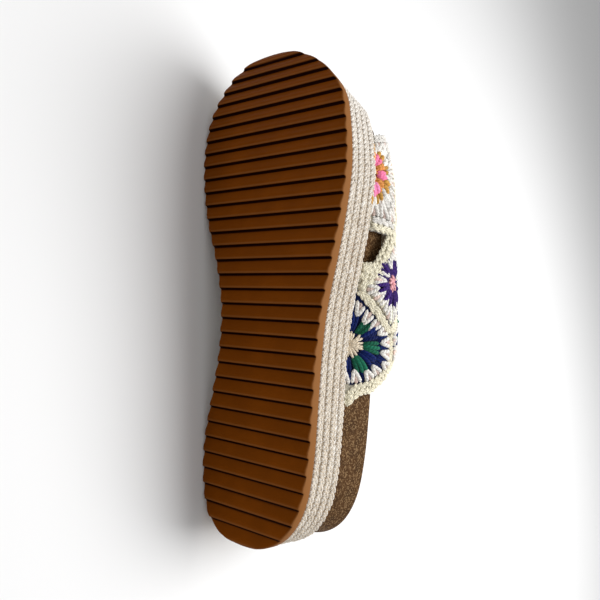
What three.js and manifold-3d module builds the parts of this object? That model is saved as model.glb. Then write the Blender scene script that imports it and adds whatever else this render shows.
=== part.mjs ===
// A left platform sandal: ripple outsole, rope-wrapped platform, cork footbed with a suede liner,
// and a crochet upper of two joined bands. It lies on its inner side, sole edge and upper on the floor.
// Every piece is worked out flat, in sole coordinates [x, s, h] in millimetres: x towards the inner side
// of the foot, s along the sole from heel to toe and h up from the tread. bend() then lifts the toe.
import * as THREE from 'three';
import { mergeVertices } from 'three/addons/utils/BufferGeometryUtils.js';
import Module from 'manifold-3d';

const wasm = await Module();
wasm.setup();

// Driving dimensions, in millimetres and degrees
const GAP = 0.3;
const SOLE_LENGTH = 257.5;
const HEEL_END = -129.5;
const TOE_END = HEEL_END + SOLE_LENGTH;
const TOE_SPRING = { startsAt: 55.6, radius: 224.5 };
const TREAD = { pitch: 7.6, depth: 1.8, dropLength: 0.6, landLength: 2.2, leastStep: 0.05 };
const OUTSOLE_TOP = 6;
const ROPE = {
  rows: 4,
  bottom: OUTSOLE_TOP + GAP,
  top: 27.8,
  thickness: 5.2,
  valley: 1.5,
  crest: 0.15,
  flatShare: 0.44,
};
const FOOTBED = { bottom: ROPE.top + GAP, inset: 4.6, lean: 0.17, rimWidth: 2.5, dishPower: 3 };
const LINER = 1.5;
const UPPER = { wall: 2.6, base: 29, baseInset: 2.6, step: 0.7, rise: 0.4, flankAcross: 0.42, flankUp: 0.56 };
const CHAIN = { rear: 6.5, front: 5, middle: 31, middleWidth: 6.8, seam: 5, girth: 180, lowestShare: 0.006 };
const MOTIFS = { across: 4, side: -2.5, rear: -22, front: 31, elbow: 7.5, elbowShare: 0.052 };
const PEEP = { front: 27.2, rear: 11, frontShare: 0.083, rearShare: 0.04, reach: 8 };
const LYING = { yaw: 10.17, tilt: 0.84 };

// How finely the curved faces are divided
const DIVISIONS = { rope: 38, bed: 30, upper: 40, rearBand: 5, frontBand: 3, seam: 2, peep: 4 };
const END_TURNS = [0.012, 0.026, 0.042, 0.062, 0.085];
const DISH_SHARES = [0, 0.06, 0.16, 0.32, 0.5, 0.68, 0.84, 0.94, 1];

// Tread outline: the inner and outer edge at stations along the sole
const OUTLINE = [
  { s: HEEL_END, inner: 1, outer: 1 },
  { s: -121.6, inner: 23.8, outer: -21.7 },
  { s: -106, inner: 31.3, outer: -30.4 },
  { s: -84, inner: 34.4, outer: -32.5 },
  { s: -61, inner: 32.9, outer: -31.6 },
  { s: -38, inner: 31.9, outer: -30.6 },
  { s: -15, inner: 34.6, outer: -31 },
  { s: 8, inner: 42.8, outer: -33.7 },
  { s: 30, inner: 53, outer: -35.9 },
  { s: 53, inner: 60, outer: -36.4 },
  { s: 76, inner: 63.4, outer: -32.4 },
  { s: 91, inner: 63.5, outer: -27.2 },
  { s: 106, inner: 60, outer: -15.4 },
  { s: 119, inner: 53.3, outer: 1.2 },
  { s: TOE_END, inner: 30, outer: 30 },
];

// Footbed top: height of its rim and of the middle of its dish
const BED = [
  { s: HEEL_END, rim: 48, dish: 46.8 },
  { s: -112, rim: 48.7, dish: 42.2 },
  { s: -84, rim: 50, dish: 41 },
  { s: -50, rim: 51, dish: 41.5 },
  { s: -20, rim: 49.5, dish: 39.5 },
  { s: 10, rim: 46, dish: 36.5 },
  { s: 30, rim: 41.5, dish: 34.5 },
  { s: 48, rim: 37.2, dish: 33.5 },
  { s: 85, rim: 35.5, dish: 32.5 },
  { s: TOE_END, rim: 36, dish: 35 },
];

// Upper cross-sections: how far the slack sides bulge past the sole edge and at what height,
// the height of the crown, and how far its ridge leans to the inner side
const SECTIONS = [
  { s: -60, bulge: 3.5, bulgeHeight: 49, crown: 106, ridge: 8 },
  { s: -45, bulge: 6, bulgeHeight: 49.5, crown: 104, ridge: 8 },
  { s: -30, bulge: 8.6, bulgeHeight: 50, crown: 102, ridge: 8 },
  { s: -10, bulge: 7, bulgeHeight: 49, crown: 97, ridge: 7 },
  { s: 12, bulge: 2.8, bulgeHeight: 48, crown: 90, ridge: 6.5 },
  { s: 38, bulge: 0.2, bulgeHeight: 45, crown: 80, ridge: 6 },
  { s: 60, bulge: -1.4, bulgeHeight: 43, crown: 71, ridge: 5 },
  { s: 96, bulge: -1.2, bulgeHeight: 41, crown: 58, ridge: 4 },
];

// Free edges of the upper: where its rear and front edge run at each share of the way
// from the rope at the sole edge (0) to the crown (0.5)
const FREE_EDGES = [
  { share: 0, rear: -56, front: 80 },
  { share: 0.065, rear: -53.3, front: 85.5 },
  { share: 0.1, rear: -50, front: 87.5 },
  { share: 0.147, rear: -43, front: 89 },
  { share: 0.2, rear: -36, front: 90 },
  { share: 0.3, rear: -27, front: 92 },
  { share: 0.5, rear: -19, front: 94 },
];

const COLOURS = {
  outsole: [0x8a4a1c, 0.42],
  midsole: [0xcdbf9f, 0.9],
  rope_wrap: [0xd8ccb4, 0.95],
  footbed: [0x5d3f22, 0.85],
  insole: [0xa98a66, 0.95],
  upper: [0xe8e2cb, 0.95],
};

// Smooth curve through the rows of a table: a cubic between rows, its slope from the neighbouring rows
function through(rows, at, column) {
  const t = rows.map((row) => row[at]);
  const v = rows.map((row) => row[column]);
  const last = t.length - 1;
  const rise = (i) => (v[i + 1] - v[i]) / (t[i + 1] - t[i]);
  const slope = t.map((_, i) => {
    if (i === 0 || i === last) return 0;
    const before = t[i] - t[i - 1];
    const after = t[i + 1] - t[i];
    return (rise(i - 1) * after + rise(i) * before) / (before + after);
  });
  slope[0] = 2 * rise(0) - slope[1];
  slope[last] = 2 * rise(last - 1) - slope[last - 1];
  return (x) => {
    const clamped = Math.min(Math.max(x, t[0]), t[last]);
    let i = 0;
    while (i < last - 1 && clamped > t[i + 1]) i += 1;
    const span = t[i + 1] - t[i];
    const w = (clamped - t[i]) / span;
    const ease = w * w * (3 - 2 * w);
    const leave = w * (1 - w) * (1 - w) * span * slope[i];
    const arrive = w * w * (w - 1) * span * slope[i + 1];
    return v[i] + (v[i + 1] - v[i]) * ease + leave + arrive;
  };
}

// Rounds the outline's ends: the turn from heel (0) to toe (1) as the angle on a half circle
const turnAt = (s) => Math.acos(1 - (2 * (s - HEEL_END)) / SOLE_LENGTH) / Math.PI;
const stationAt = (turn) => HEEL_END + (SOLE_LENGTH * (1 - Math.cos(Math.PI * turn))) / 2;
const turned = OUTLINE.map((row) => ({ ...row, turn: turnAt(row.s) }));
const innerAtTurn = through(turned, 'turn', 'inner');
const outerAtTurn = through(turned, 'turn', 'outer');
const innerEdge = (s) => innerAtTurn(turnAt(s));
const outerEdge = (s) => outerAtTurn(turnAt(s));
const rimHeight = through(BED, 's', 'rim');
const dishHeight = through(BED, 's', 'dish');

// Toe spring: past its start the sole rolls up round an axis above the tread
function bend([x, s, h]) {
  const past = Math.max(s - TOE_SPRING.startsAt, 0);
  const angle = past / TOE_SPRING.radius;
  const reach = TOE_SPRING.radius - h;
  if (past === 0) return [x, s, h];
  return [x, TOE_SPRING.startsAt + reach * Math.sin(angle), TOE_SPRING.radius - reach * Math.cos(angle)];
}

// Collects points and faces; a face that repeats a point is left out
class Skin {
  constructor() {
    this.points = [];
    this.faces = [];
  }

  add(point) {
    this.points.push(point);
    return this.points.length - 1;
  }

  triangle(a, b, c) {
    if (a !== b && b !== c && a !== c) this.faces.push([a, b, c]);
  }

  quad(a, b, c, d) {
    this.triangle(a, b, c);
    this.triangle(a, c, d);
  }

  // Wall between two closed rings of point numbers, the second above the first
  wall(low, high) {
    low.forEach((_, i) => {
      const next = (i + 1) % low.length;
      this.quad(low[i], low[next], high[next], high[i]);
    });
  }

  // Cover of a ring, in rows of point numbers from the outer to the inner edge, heel to toe
  cover(rows, faceUp) {
    for (let j = 0; j + 1 < rows.length; j += 1) {
      for (let k = 0; k + 1 < rows[j].length; k += 1) {
        const loop = [rows[j][k], rows[j][k + 1], rows[j + 1][k + 1], rows[j + 1][k]];
        if (!faceUp) loop.reverse();
        this.quad(...loop);
      }
    }
  }

  geometry() {
    const geometry = new THREE.BufferGeometry();
    const bent = this.points.flatMap((point) => bend(point));
    geometry.setAttribute('position', new THREE.Float32BufferAttribute(bent, 3));
    geometry.setIndex(this.faces.flat());
    return geometry;
  }
}

// Closed ring round the sole at the given stations, moved in from the tread edge:
// heel end, inner edge forward, toe end, outer edge back
function ring(stations, insetAt) {
  const inner = stations.map((s) => [innerEdge(s), s]);
  const outer = stations.slice(1, -1).map((s) => [outerEdge(s), s]);
  const edge = [...inner, ...outer.reverse()];
  return edge.map(([x, s], i) => {
    const before = edge[(i + edge.length - 1) % edge.length];
    const after = edge[(i + 1) % edge.length];
    const along = [after[0] - before[0], after[1] - before[1]];
    const inset = insetAt(s) / Math.hypot(...along);
    return [x - along[1] * inset, s + along[0] * inset];
  });
}

// Pairs a ring's outer and inner points, heel to toe, with columns between them at the given shares
function rungs(points, shares) {
  const count = points.length / 2;
  return Array.from({ length: count + 1 }, (_, j) => {
    const inner = points[j];
    const outer = points[(points.length - j) % points.length];
    return shares.map((share) => [
      outer[0] + (inner[0] - outer[0]) * share,
      outer[1] + (inner[1] - outer[1]) * share,
      share,
    ]);
  });
}

// Point numbers of a cover whose edge columns are the ring's own points
function coverRows(skin, ringPoints, ringNumbers, shares, heightAt) {
  const rows = rungs(ringPoints, shares);
  return rows.map((row, j) => {
    const inner = ringNumbers[j];
    const outer = ringNumbers[(ringNumbers.length - j) % ringNumbers.length];
    if (inner === outer) return row.map(() => inner);
    return row.map(([x, s, share]) => {
      if (share === 0) return outer;
      if (share === 1) return inner;
      return skin.add([x, s, heightAt(s, share)]);
    });
  });
}

const evenStations = (count) => Array.from({ length: count + 1 }, (_, i) => stationAt(i / count));
const addRing = (skin, points, heightAt) => points.map(([x, s]) => skin.add([x, s, heightAt(s)]));

// Solid between rings, with a flat cover below and above
function stack(stations, levels) {
  const skin = new Skin();
  const rings = levels.map(({ inset, height }) => {
    const points = ring(stations, () => inset);
    return { points, numbers: addRing(skin, points, height) };
  });
  rings.slice(1).forEach((level, i) => skin.wall(rings[i].numbers, level.numbers));
  const first = rings[0];
  const last = rings[rings.length - 1];
  skin.cover(coverRows(skin, first.points, first.numbers, [0, 1]), false);
  skin.cover(coverRows(skin, last.points, last.numbers, [0, 1]), true);
  return skin.geometry();
}

// Ripple of the tread: each rib sinks to the floor towards the heel, runs flat, then drops off steeply
function ripple(s) {
  const phase = s - TREAD.pitch * Math.floor(s / TREAD.pitch);
  const landEnd = TREAD.dropLength + TREAD.landLength;
  if (phase < TREAD.dropLength) return TREAD.depth * (1 - phase / TREAD.dropLength);
  if (phase < landEnd) return 0;
  return (TREAD.depth * (phase - landEnd)) / (TREAD.pitch - landEnd);
}

function makeOutsole() {
  const breaks = [0, TREAD.dropLength, TREAD.dropLength + TREAD.landLength];
  const stations = [HEEL_END, TOE_END];
  const firstRib = Math.floor(HEEL_END / TREAD.pitch);
  const lastRib = Math.ceil(TOE_END / TREAD.pitch);
  for (let rib = firstRib; rib <= lastRib; rib += 1) {
    breaks.forEach((offset) => stations.push(rib * TREAD.pitch + offset));
  }
  END_TURNS.forEach((turn) => stations.push(stationAt(turn), stationAt(1 - turn)));
  const inOrder = stations.filter((s) => s >= HEEL_END && s <= TOE_END).sort((a, b) => a - b);
  const spaced = inOrder.filter((s, i) => i === 0 || s - inOrder[i - 1] > TREAD.leastStep);
  return stack(spaced, [
    { inset: 0, height: ripple },
    { inset: 0, height: () => OUTSOLE_TOP },
  ]);
}

const ROPE_STATIONS = evenStations(DIVISIONS.rope);

function makeMidsole() {
  const inset = ROPE.thickness + GAP;
  return stack(ROPE_STATIONS, [
    { inset, height: () => ROPE.bottom },
    { inset, height: () => ROPE.top },
  ]);
}

// Wound rope: one closed band round the platform with a rounded rib for each row
function makeRopeWrap() {
  const pitch = (ROPE.top - ROPE.bottom) / ROPE.rows;
  const profile = [[ROPE.thickness, ROPE.bottom]];
  for (let row = 0; row < ROPE.rows; row += 1) {
    const low = ROPE.bottom + row * pitch;
    const slope = ((1 - ROPE.flatShare) / 2) * pitch;
    profile.push([ROPE.valley, low], [ROPE.crest, low + slope], [ROPE.crest, low + pitch - slope]);
  }
  profile.push([ROPE.valley, ROPE.top], [ROPE.thickness, ROPE.top]);
  const skin = new Skin();
  const rings = profile.map(([inset, height]) => {
    const loop = ring(ROPE_STATIONS, () => inset);
    return addRing(skin, loop, () => height);
  });
  rings.forEach((numbers, i) => skin.wall(numbers, rings[(i + 1) % rings.length]));
  return skin.geometry();
}

// Footbed side: leans out as it rises, so the rim stands near the tread edge
const footbedInset = (h) => FOOTBED.inset - FOOTBED.lean * (h - FOOTBED.bottom);
const dishInset = (s) => footbedInset(rimHeight(s)) + FOOTBED.rimWidth;
const BED_STATIONS = evenStations(DIVISIONS.bed);

// Height of the dish: the rim at both edges, falling to a broad middle
function bedHeight(s, share) {
  const side = Math.abs(2 * share - 1);
  return dishHeight(s) + (rimHeight(s) - dishHeight(s)) * side ** FOOTBED.dishPower;
}

function makeFootbed() {
  const skin = new Skin();
  const base = ring(BED_STATIONS, () => FOOTBED.inset);
  const rim = ring(BED_STATIONS, (s) => footbedInset(rimHeight(s)));
  const dish = ring(BED_STATIONS, dishInset);
  const baseNumbers = addRing(skin, base, () => FOOTBED.bottom);
  const rimNumbers = addRing(skin, rim, rimHeight);
  const dishNumbers = addRing(skin, dish, rimHeight);
  skin.wall(baseNumbers, rimNumbers);
  skin.wall(rimNumbers, dishNumbers);
  skin.cover(coverRows(skin, base, baseNumbers, [0, 1]), false);
  skin.cover(coverRows(skin, dish, dishNumbers, DISH_SHARES, bedHeight), true);
  return skin.geometry();
}

// Suede liner over the whole dish
function makeInsole() {
  const skin = new Skin();
  const dish = ring(BED_STATIONS, (s) => dishInset(s) + 2 * GAP);
  const lift = 2 * GAP;
  const low = addRing(skin, dish, (s) => rimHeight(s) + lift);
  const high = addRing(skin, dish, (s) => rimHeight(s) + lift + LINER);
  const lifted = (up) => (s, share) => bedHeight(s, share) + up;
  skin.wall(low, high);
  skin.cover(coverRows(skin, dish, low, DISH_SHARES, lifted(lift)), false);
  skin.cover(coverRows(skin, dish, high, DISH_SHARES, lifted(lift + LINER)), true);
  return skin.geometry();
}

// Middle of the upper's wall at station s and share a of the way over the foot, 0 at the outer rope,
// 0.5 at the crown, 1 at the inner rope: a curve through base, bulge, flank and crown.
// Past either rope it runs straight down
const sectionCurves = Object.fromEntries(
  ['bulge', 'bulgeHeight', 'crown', 'ridge'].map((column) => [column, through(SECTIONS, 's', column)]),
);

function edgeSlant(edge, s) {
  const reach = 0.5;
  return Math.hypot(1, (edge(s + reach) - edge(s - reach)) / (2 * reach));
}

function sectionPoints(s) {
  const [bulge, bulgeHeight, crown, ridge] = Object.values(sectionCurves).map((curve) => curve(s));
  const outer = outerEdge(s);
  const inner = innerEdge(s);
  const outerIn = UPPER.baseInset * edgeSlant(outerEdge, s);
  const innerIn = UPPER.baseInset * edgeSlant(innerEdge, s);
  const top = (outer + inner) / 2 + ridge;
  const flank = UPPER.flankAcross;
  const flankHeight = bulgeHeight + (crown - bulgeHeight) * UPPER.flankUp;
  return [
    [outer + outerIn, UPPER.base],
    [outer - bulge, bulgeHeight],
    [outer - bulge + (top - outer + bulge) * flank, flankHeight],
    [top, crown],
    [inner + bulge + (top - inner - bulge) * flank, flankHeight],
    [inner + bulge, bulgeHeight],
    [inner - innerIn, UPPER.base],
  ];
}

function wallMiddle(s, share) {
  const points = sectionPoints(s);
  let run = 0;
  const rows = points.map(([x, h], i) => {
    if (i > 0) run += Math.hypot(x - points[i - 1][0], h - points[i - 1][1]);
    return { run, x, h };
  });
  const at = share * run;
  const held = Math.min(Math.max(at, 0), run);
  const below = Math.abs(at - held);
  return [through(rows, 'run', 'x')(held), s, through(rows, 'run', 'h')(held) - below];
}

// Point of the upper at a height above the middle of its wall
function onUpper(s, share, lift) {
  const step = { s: 0.5, share: 0.004 };
  const ahead = new THREE.Vector3(...wallMiddle(s + step.s, share));
  const behind = new THREE.Vector3(...wallMiddle(s - step.s, share));
  const from = Math.min(Math.max(share - step.share, 0), 1 - step.share);
  const start = new THREE.Vector3(...wallMiddle(s, from));
  const over = new THREE.Vector3(...wallMiddle(s, from + step.share)).sub(start);
  const normal = over.cross(ahead.sub(behind)).normalize();
  const middle = new THREE.Vector3(...wallMiddle(s, share));
  return middle.addScaledVector(normal, lift).toArray();
}

const toCrown = (share) => Math.min(share, 1 - share);
const rearAtShare = through(FREE_EDGES, 'share', 'rear');
const frontAtShare = through(FREE_EDGES, 'share', 'front');

// Stations across the upper at one share, rear to front, each with the height of its outer face:
// the chain rows along the rear, middle and front stand a step higher
function upperStations(share) {
  const rear = rearAtShare(toCrown(share));
  const front = frontAtShare(toCrown(share));
  const plain = UPPER.wall / 2;
  const chain = plain + UPPER.step;
  const midRear = CHAIN.middle - CHAIN.middleWidth / 2;
  const midFront = CHAIN.middle + CHAIN.middleWidth / 2;
  const rearEnd = rear + CHAIN.rear;
  const frontEnd = front - CHAIN.front;
  const between = (from, to, count, outer) =>
    Array.from({ length: count - 1 }, (_, i) => [from + ((to - from) * (i + 1)) / count, outer]);
  const rise = UPPER.rise;
  return [
    [rear, plain],
    [rear + rise, chain],
    [rearEnd, chain],
    [rearEnd + rise, plain],
    ...between(rearEnd + rise, midRear - rise, DIVISIONS.rearBand, plain),
    [midRear - rise, plain],
    [midRear, chain],
    [midFront, chain],
    [midFront + rise, plain],
    ...between(midFront + rise, frontEnd - rise, DIVISIONS.frontBand, plain),
    [frontEnd - rise, plain],
    [frontEnd, chain],
    [front - rise, chain],
    [front, plain],
  ];
}

// Closed wall over a patch of the upper: rows of [s, share, low, high], first row to last
function slab(rows) {
  const skin = new Skin();
  const low = rows.map((row) => row.map(([s, share, bottom]) => skin.add(onUpper(s, share, bottom))));
  const high = rows.map((row) => row.map(([s, share, , top]) => skin.add(onUpper(s, share, top))));
  skin.cover(low, false);
  skin.cover(high, true);
  const lastRow = rows.length - 1;
  const lastColumn = rows[0].length - 1;
  const rim = [
    ...rows[0].map((_, k) => [0, k]),
    ...rows.slice(1).map((_, j) => [j + 1, lastColumn]),
    ...rows[0].slice(1).map((_, k) => [lastRow, lastColumn - 1 - k]),
    ...rows.slice(1, -1).map((_, j) => [lastRow - 1 - j, 0]),
  ];
  skin.wall(
    rim.map(([j, k]) => low[j][k]),
    rim.map(([j, k]) => high[j][k]),
  );
  return skin.geometry();
}

function solid(geometry) {
  const welded = mergeVertices(geometry, 1e-4);
  return new wasm.Manifold(
    new wasm.Mesh({
      numProp: 3,
      vertProperties: Float32Array.from(welded.attributes.position.array),
      triVerts: Uint32Array.from(welded.index.array),
    }),
  );
}

function geometryOf(body) {
  const mesh = body.getMesh();
  const geometry = new THREE.BufferGeometry();
  geometry.setAttribute('position', new THREE.BufferAttribute(mesh.vertProperties, 3));
  geometry.setIndex(new THREE.BufferAttribute(mesh.triVerts, 1));
  return geometry;
}

// Raised chain seam along a straight line on the upper, from one [s, share] to another
function chainSeam([s0, share0], [s1, share1]) {
  const steps = DIVISIONS.seam;
  const along = new THREE.Vector2(s1 - s0, (share1 - share0) * CHAIN.girth).normalize();
  const half = CHAIN.seam / 2;
  const across = [-along.y * half, (along.x * half) / CHAIN.girth];
  const low = -UPPER.wall / 6;
  const high = UPPER.wall / 2 + UPPER.step;
  const rows = Array.from({ length: steps + 1 }, (_, i) => {
    const t = i / steps;
    const s = s0 + (s1 - s0) * t;
    const share = share0 + (share1 - share0) * t;
    return [-1, 1].map((side) => {
      const lowest = CHAIN.lowestShare;
      const beside = Math.min(Math.max(share + side * across[1], lowest), 1 - lowest);
      return [s + side * across[0], beside, low, high];
    });
  });
  return solid(slab(rows));
}

// Peep hole between two motifs and the middle chain: a plug through the wall, wider at the front
function peepPlug(share) {
  const rows = Array.from({ length: DIVISIONS.peep + 1 }, (_, i) => {
    const t = i / DIVISIONS.peep;
    const s = PEEP.rear + (PEEP.front - PEEP.rear) * t;
    const half = PEEP.rearShare + (PEEP.frontShare - PEEP.rearShare) * t;
    return [-1, 0, 1].map((side) => [s, share + side * half, -PEEP.reach, PEEP.reach]);
  });
  return solid(slab(rows));
}

function makeUpper() {
  const sections = Array.from({ length: DIVISIONS.upper + 1 }, (_, i) => {
    const share = i / DIVISIONS.upper;
    return upperStations(share).map(([s, outer]) => [s, share, -UPPER.wall / 2, outer]);
  });
  const rows = sections[0].map((_, j) => sections.map((section) => section[j]));
  const wall = solid(slab(rows));
  const pitch = 1 / MOTIFS.across;
  const seams = [];
  const plugs = [];
  for (let motif = 0; motif < MOTIFS.across; motif += 1) {
    const left = motif * pitch;
    const middle = left + pitch / 2;
    const right = left + pitch;
    [left, right].forEach((side) => {
      const inwards = Math.sign(middle - side);
      const elbow = [MOTIFS.elbow, side + inwards * MOTIFS.elbowShare];
      seams.push(chainSeam([MOTIFS.side, side], [MOTIFS.rear, middle]));
      seams.push(chainSeam([MOTIFS.side, side], elbow));
      seams.push(chainSeam(elbow, [MOTIFS.front, middle]));
    });
    const frontEnd = frontAtShare(toCrown(middle)) - CHAIN.front;
    seams.push(chainSeam([CHAIN.middle, middle], [frontEnd + 1, middle]));
  }
  for (let gap = 0; gap <= MOTIFS.across; gap += 1) plugs.push(peepPlug(gap * pitch));
  const joined = seams.reduce((body, seam) => body.add(seam), wall);
  return geometryOf(plugs.reduce((body, plug) => body.subtract(plug), joined));
}

function piece(name, geometry) {
  const [color, roughness] = COLOURS[name];
  const mesh = new THREE.Mesh(geometry, new THREE.MeshStandardMaterial({ color, roughness, metalness: 0 }));
  mesh.name = name;
  return mesh;
}

// Upright sandal, turned about its heel-to-toe and upright axes, then laid on its inner side
const upright = new THREE.Group();
upright.add(
  piece('outsole', makeOutsole()),
  piece('midsole', makeMidsole()),
  piece('rope_wrap', makeRopeWrap()),
  piece('footbed', makeFootbed()),
  piece('insole', makeInsole()),
  piece('upper', makeUpper()),
);
const toFloor = new THREE.Matrix4().set(0, -1, 0, 0, 0, 0, 1, 0, -1, 0, 0, 0, 0, 0, 0, 1);
const yaw = new THREE.Matrix4().makeRotationZ(THREE.MathUtils.degToRad(LYING.yaw));
const tilt = new THREE.Matrix4().makeRotationX(THREE.MathUtils.degToRad(LYING.tilt));
upright.applyMatrix4(tilt.multiply(toFloor).multiply(yaw));

// The floor is at zero height, with the sandal's box centred on it
const sandal = new THREE.Group();
sandal.add(upright);
const box = new THREE.Box3().setFromObject(sandal, true);
const middle = box.getCenter(new THREE.Vector3());
sandal.position.set(-middle.x, -middle.y, -box.min.z);
sandal.updateMatrixWorld(true);

export default sandal;
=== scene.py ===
"""Dresses the solids of a left platform sandal that lies on its inner side.

Every piece is worked out flat, in sole coordinates in millimetres: x towards the inner side of the foot,
s along the sole from heel to toe, h up from the tread. to_row() lifts the toe and lays the sandal down.
"""

from typing import NamedTuple

import bmesh
import bpy
import numpy as np
from bpy.props import FloatProperty, FloatVectorProperty, IntProperty, PointerProperty
from mathutils import Matrix, Vector


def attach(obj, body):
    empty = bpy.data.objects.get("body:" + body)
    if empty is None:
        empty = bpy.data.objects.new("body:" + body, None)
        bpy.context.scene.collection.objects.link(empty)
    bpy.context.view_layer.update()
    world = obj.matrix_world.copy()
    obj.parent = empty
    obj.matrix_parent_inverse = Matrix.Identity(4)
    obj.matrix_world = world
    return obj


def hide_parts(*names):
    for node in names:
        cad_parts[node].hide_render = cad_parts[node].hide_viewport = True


bl_info = {
    "name": "Platform sandal",
    "version": (1, 0, 0),
    "blender": (4, 5, 0),
    "location": "View3D > Sidebar > Sandal",
    "description": "Ripple sole, plaited rope, cork footbed and crochet upper of a platform sandal",
    "category": "Add Mesh",
}

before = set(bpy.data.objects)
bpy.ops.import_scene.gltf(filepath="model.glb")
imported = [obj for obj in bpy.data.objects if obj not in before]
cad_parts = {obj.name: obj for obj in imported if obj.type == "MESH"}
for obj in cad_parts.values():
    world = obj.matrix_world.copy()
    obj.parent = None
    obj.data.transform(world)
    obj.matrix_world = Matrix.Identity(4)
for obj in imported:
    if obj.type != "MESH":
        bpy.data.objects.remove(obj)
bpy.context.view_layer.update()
MM = 1000.0  # millimetres in a metre
WELD = 1e-6  # metres within which points become one
BODY = "root"

# The sole, in millimetres
HEEL_END, TOE_END = -129.5, 128.0
SPRING_START, SPRING_RADIUS = 55.6, 224.5
GAP = 0.3
TREAD_PITCH, TREAD_DEPTH, TREAD_DROP, TREAD_LAND, TREAD_SOFT = 7.6, 1.8, 0.6, 2.2, 0.3
OUTSOLE_TOP = 6.0
ROPE_BOTTOM, ROPE_TOP, ROPE_DEPTH = 6.3, 27.8, 5.2
BED_BOTTOM, BED_INSET, BED_LEAN, BED_RIM = 28.1, 4.6, 0.17, 2.5
LINER, LINER_GAP = 1.5, 2 * GAP

# The upper, in millimetres; a share runs over the foot from the outer rope (0) to the inner rope (1)
UPPER_BASE, UPPER_BASE_INSET = 29.0, 2.6
CHAIN_REAR, CHAIN_FRONT, CHAIN_MIDDLE, CHAIN_WIDTH = 6.5, 5.0, 31.0, 6.8
MOTIF_SHARE = 0.25
MOTIF_SIDE, MOTIF_REAR, MOTIF_FRONT = -2.5, -22.0, 31.0
MOTIF_ELBOW, ELBOW_SHARE = 7.5, 0.052
JOINT_LEAN = 0.02
PEEP_FRONT, PEEP_REAR, PEEP_FRONT_SHARE, PEEP_REAR_SHARE = 27.2, 11.0, 0.083, 0.04

# How the sandal lies: turned about its upright axis, tipped, then placed on the floor
YAW, TILT = np.radians(10.17), np.radians(0.84)
PLACE = np.array([1.234523, -50.458676, 49.859759])

# Tread outline: station, inner edge, outer edge
OUTLINE = np.array([
    [HEEL_END, 1, 1], [-121.6, 23.8, -21.7], [-106, 31.3, -30.4], [-84, 34.4, -32.5], [-61, 32.9, -31.6],
    [-38, 31.9, -30.6], [-15, 34.6, -31], [8, 42.8, -33.7], [30, 53, -35.9], [53, 60, -36.4],
    [76, 63.4, -32.4], [91, 63.5, -27.2], [106, 60, -15.4], [119, 53.3, 1.2], [TOE_END, 30, 30],
])
INNER, OUTER = 1, 2

# Footbed top: station, height of the rim, height of the middle of the dish
BED = np.array([
    [HEEL_END, 48, 46.8], [-112, 48.7, 42.2], [-84, 50, 41], [-50, 51, 41.5], [-20, 49.5, 39.5],
    [10, 46, 36.5], [30, 41.5, 34.5], [48, 37.2, 33.5], [85, 35.5, 32.5], [TOE_END, 36, 35],
])

# Upper sections: station, bulge past the sole edge, its height, height of the crown, lean of the ridge
SECTIONS = np.array([
    [-60, 3.5, 49, 106, 8], [-45, 6, 49.5, 104, 8], [-30, 8.6, 50, 102, 8], [-10, 7, 49, 97, 7],
    [12, 2.8, 48, 90, 6.5], [38, 0.2, 45, 80, 6], [60, -1.4, 43, 71, 5], [96, -1.2, 41, 58, 4],
])
FLANK_ACROSS, FLANK_UP = 0.42, 0.56

# Free edges of the upper: share up to the crown, station of the rear edge, station of the front edge
FREE_EDGES = np.array([
    [0, -56, 80], [0.065, -53.3, 85.5], [0.1, -50, 87.5], [0.147, -43, 89], [0.2, -36, 90],
    [0.3, -27, 92], [0.5, -19, 94],
])


def hermite(t, v, x):
    """Cubic through the points (t, v) of the last axis, read at x; slopes come from neighbouring spans."""
    span = np.diff(t, axis=-1)
    rise = np.diff(v, axis=-1) / span
    before, after = span[..., :-1], span[..., 1:]
    middle = (rise[..., :-1] * after + rise[..., 1:] * before) / (before + after)
    first = 2 * rise[..., :1] - middle[..., :1]
    last = 2 * rise[..., -1:] - middle[..., -1:]
    slope = np.concatenate([first, middle, last], axis=-1)
    x = np.clip(x, t[..., 0], t[..., -1])
    i = (x[..., None] > t[..., 1:-1]).sum(-1)[..., None]

    def pick(table, index):
        return np.take_along_axis(np.broadcast_to(table, x.shape + table.shape[-1:]), index, -1)[..., 0]

    gap = pick(span, i)
    w = (x - pick(t, i)) / gap
    low, high = pick(v, i), pick(v, i + 1)
    leave = w * (1 - w) ** 2 * gap * pick(slope, i)
    arrive = w * w * (w - 1) * gap * pick(slope, i + 1)
    return low + (high - low) * w * w * (3 - 2 * w) + leave + arrive


def read(table, column, x):
    """Column of a table as a smooth curve of its first column."""
    return hermite(table[:, 0], table[:, column], np.asarray(x, float))


def turn_at(s):
    """Angle on a half circle from heel (0) to toe (1), which rounds the outline's ends."""
    return np.arccos(np.clip(1 - 2 * (s - HEEL_END) / (TOE_END - HEEL_END), -1, 1)) / np.pi


def eased(count):
    """Shares from 0 to 1, close together at both ends: half of one less the cosine over a half turn."""
    return (1 - np.cos(np.pi * np.linspace(0, 1, count))) / 2


def stations(spans):
    """Stations from heel to toe, close together at both ends."""
    return HEEL_END + (TOE_END - HEEL_END) * eased(spans + 1)


OUTLINE_TURN = np.column_stack([turn_at(OUTLINE[:, 0]), OUTLINE[:, 1:]])


def edge(s, side):
    """Inner or outer edge of the tread at station s."""
    return read(OUTLINE_TURN, side, turn_at(np.asarray(s, float)))


def normalised(vectors):
    """Vectors with their length made 1."""
    return vectors / np.linalg.norm(vectors, axis=-1, keepdims=True)


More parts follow.
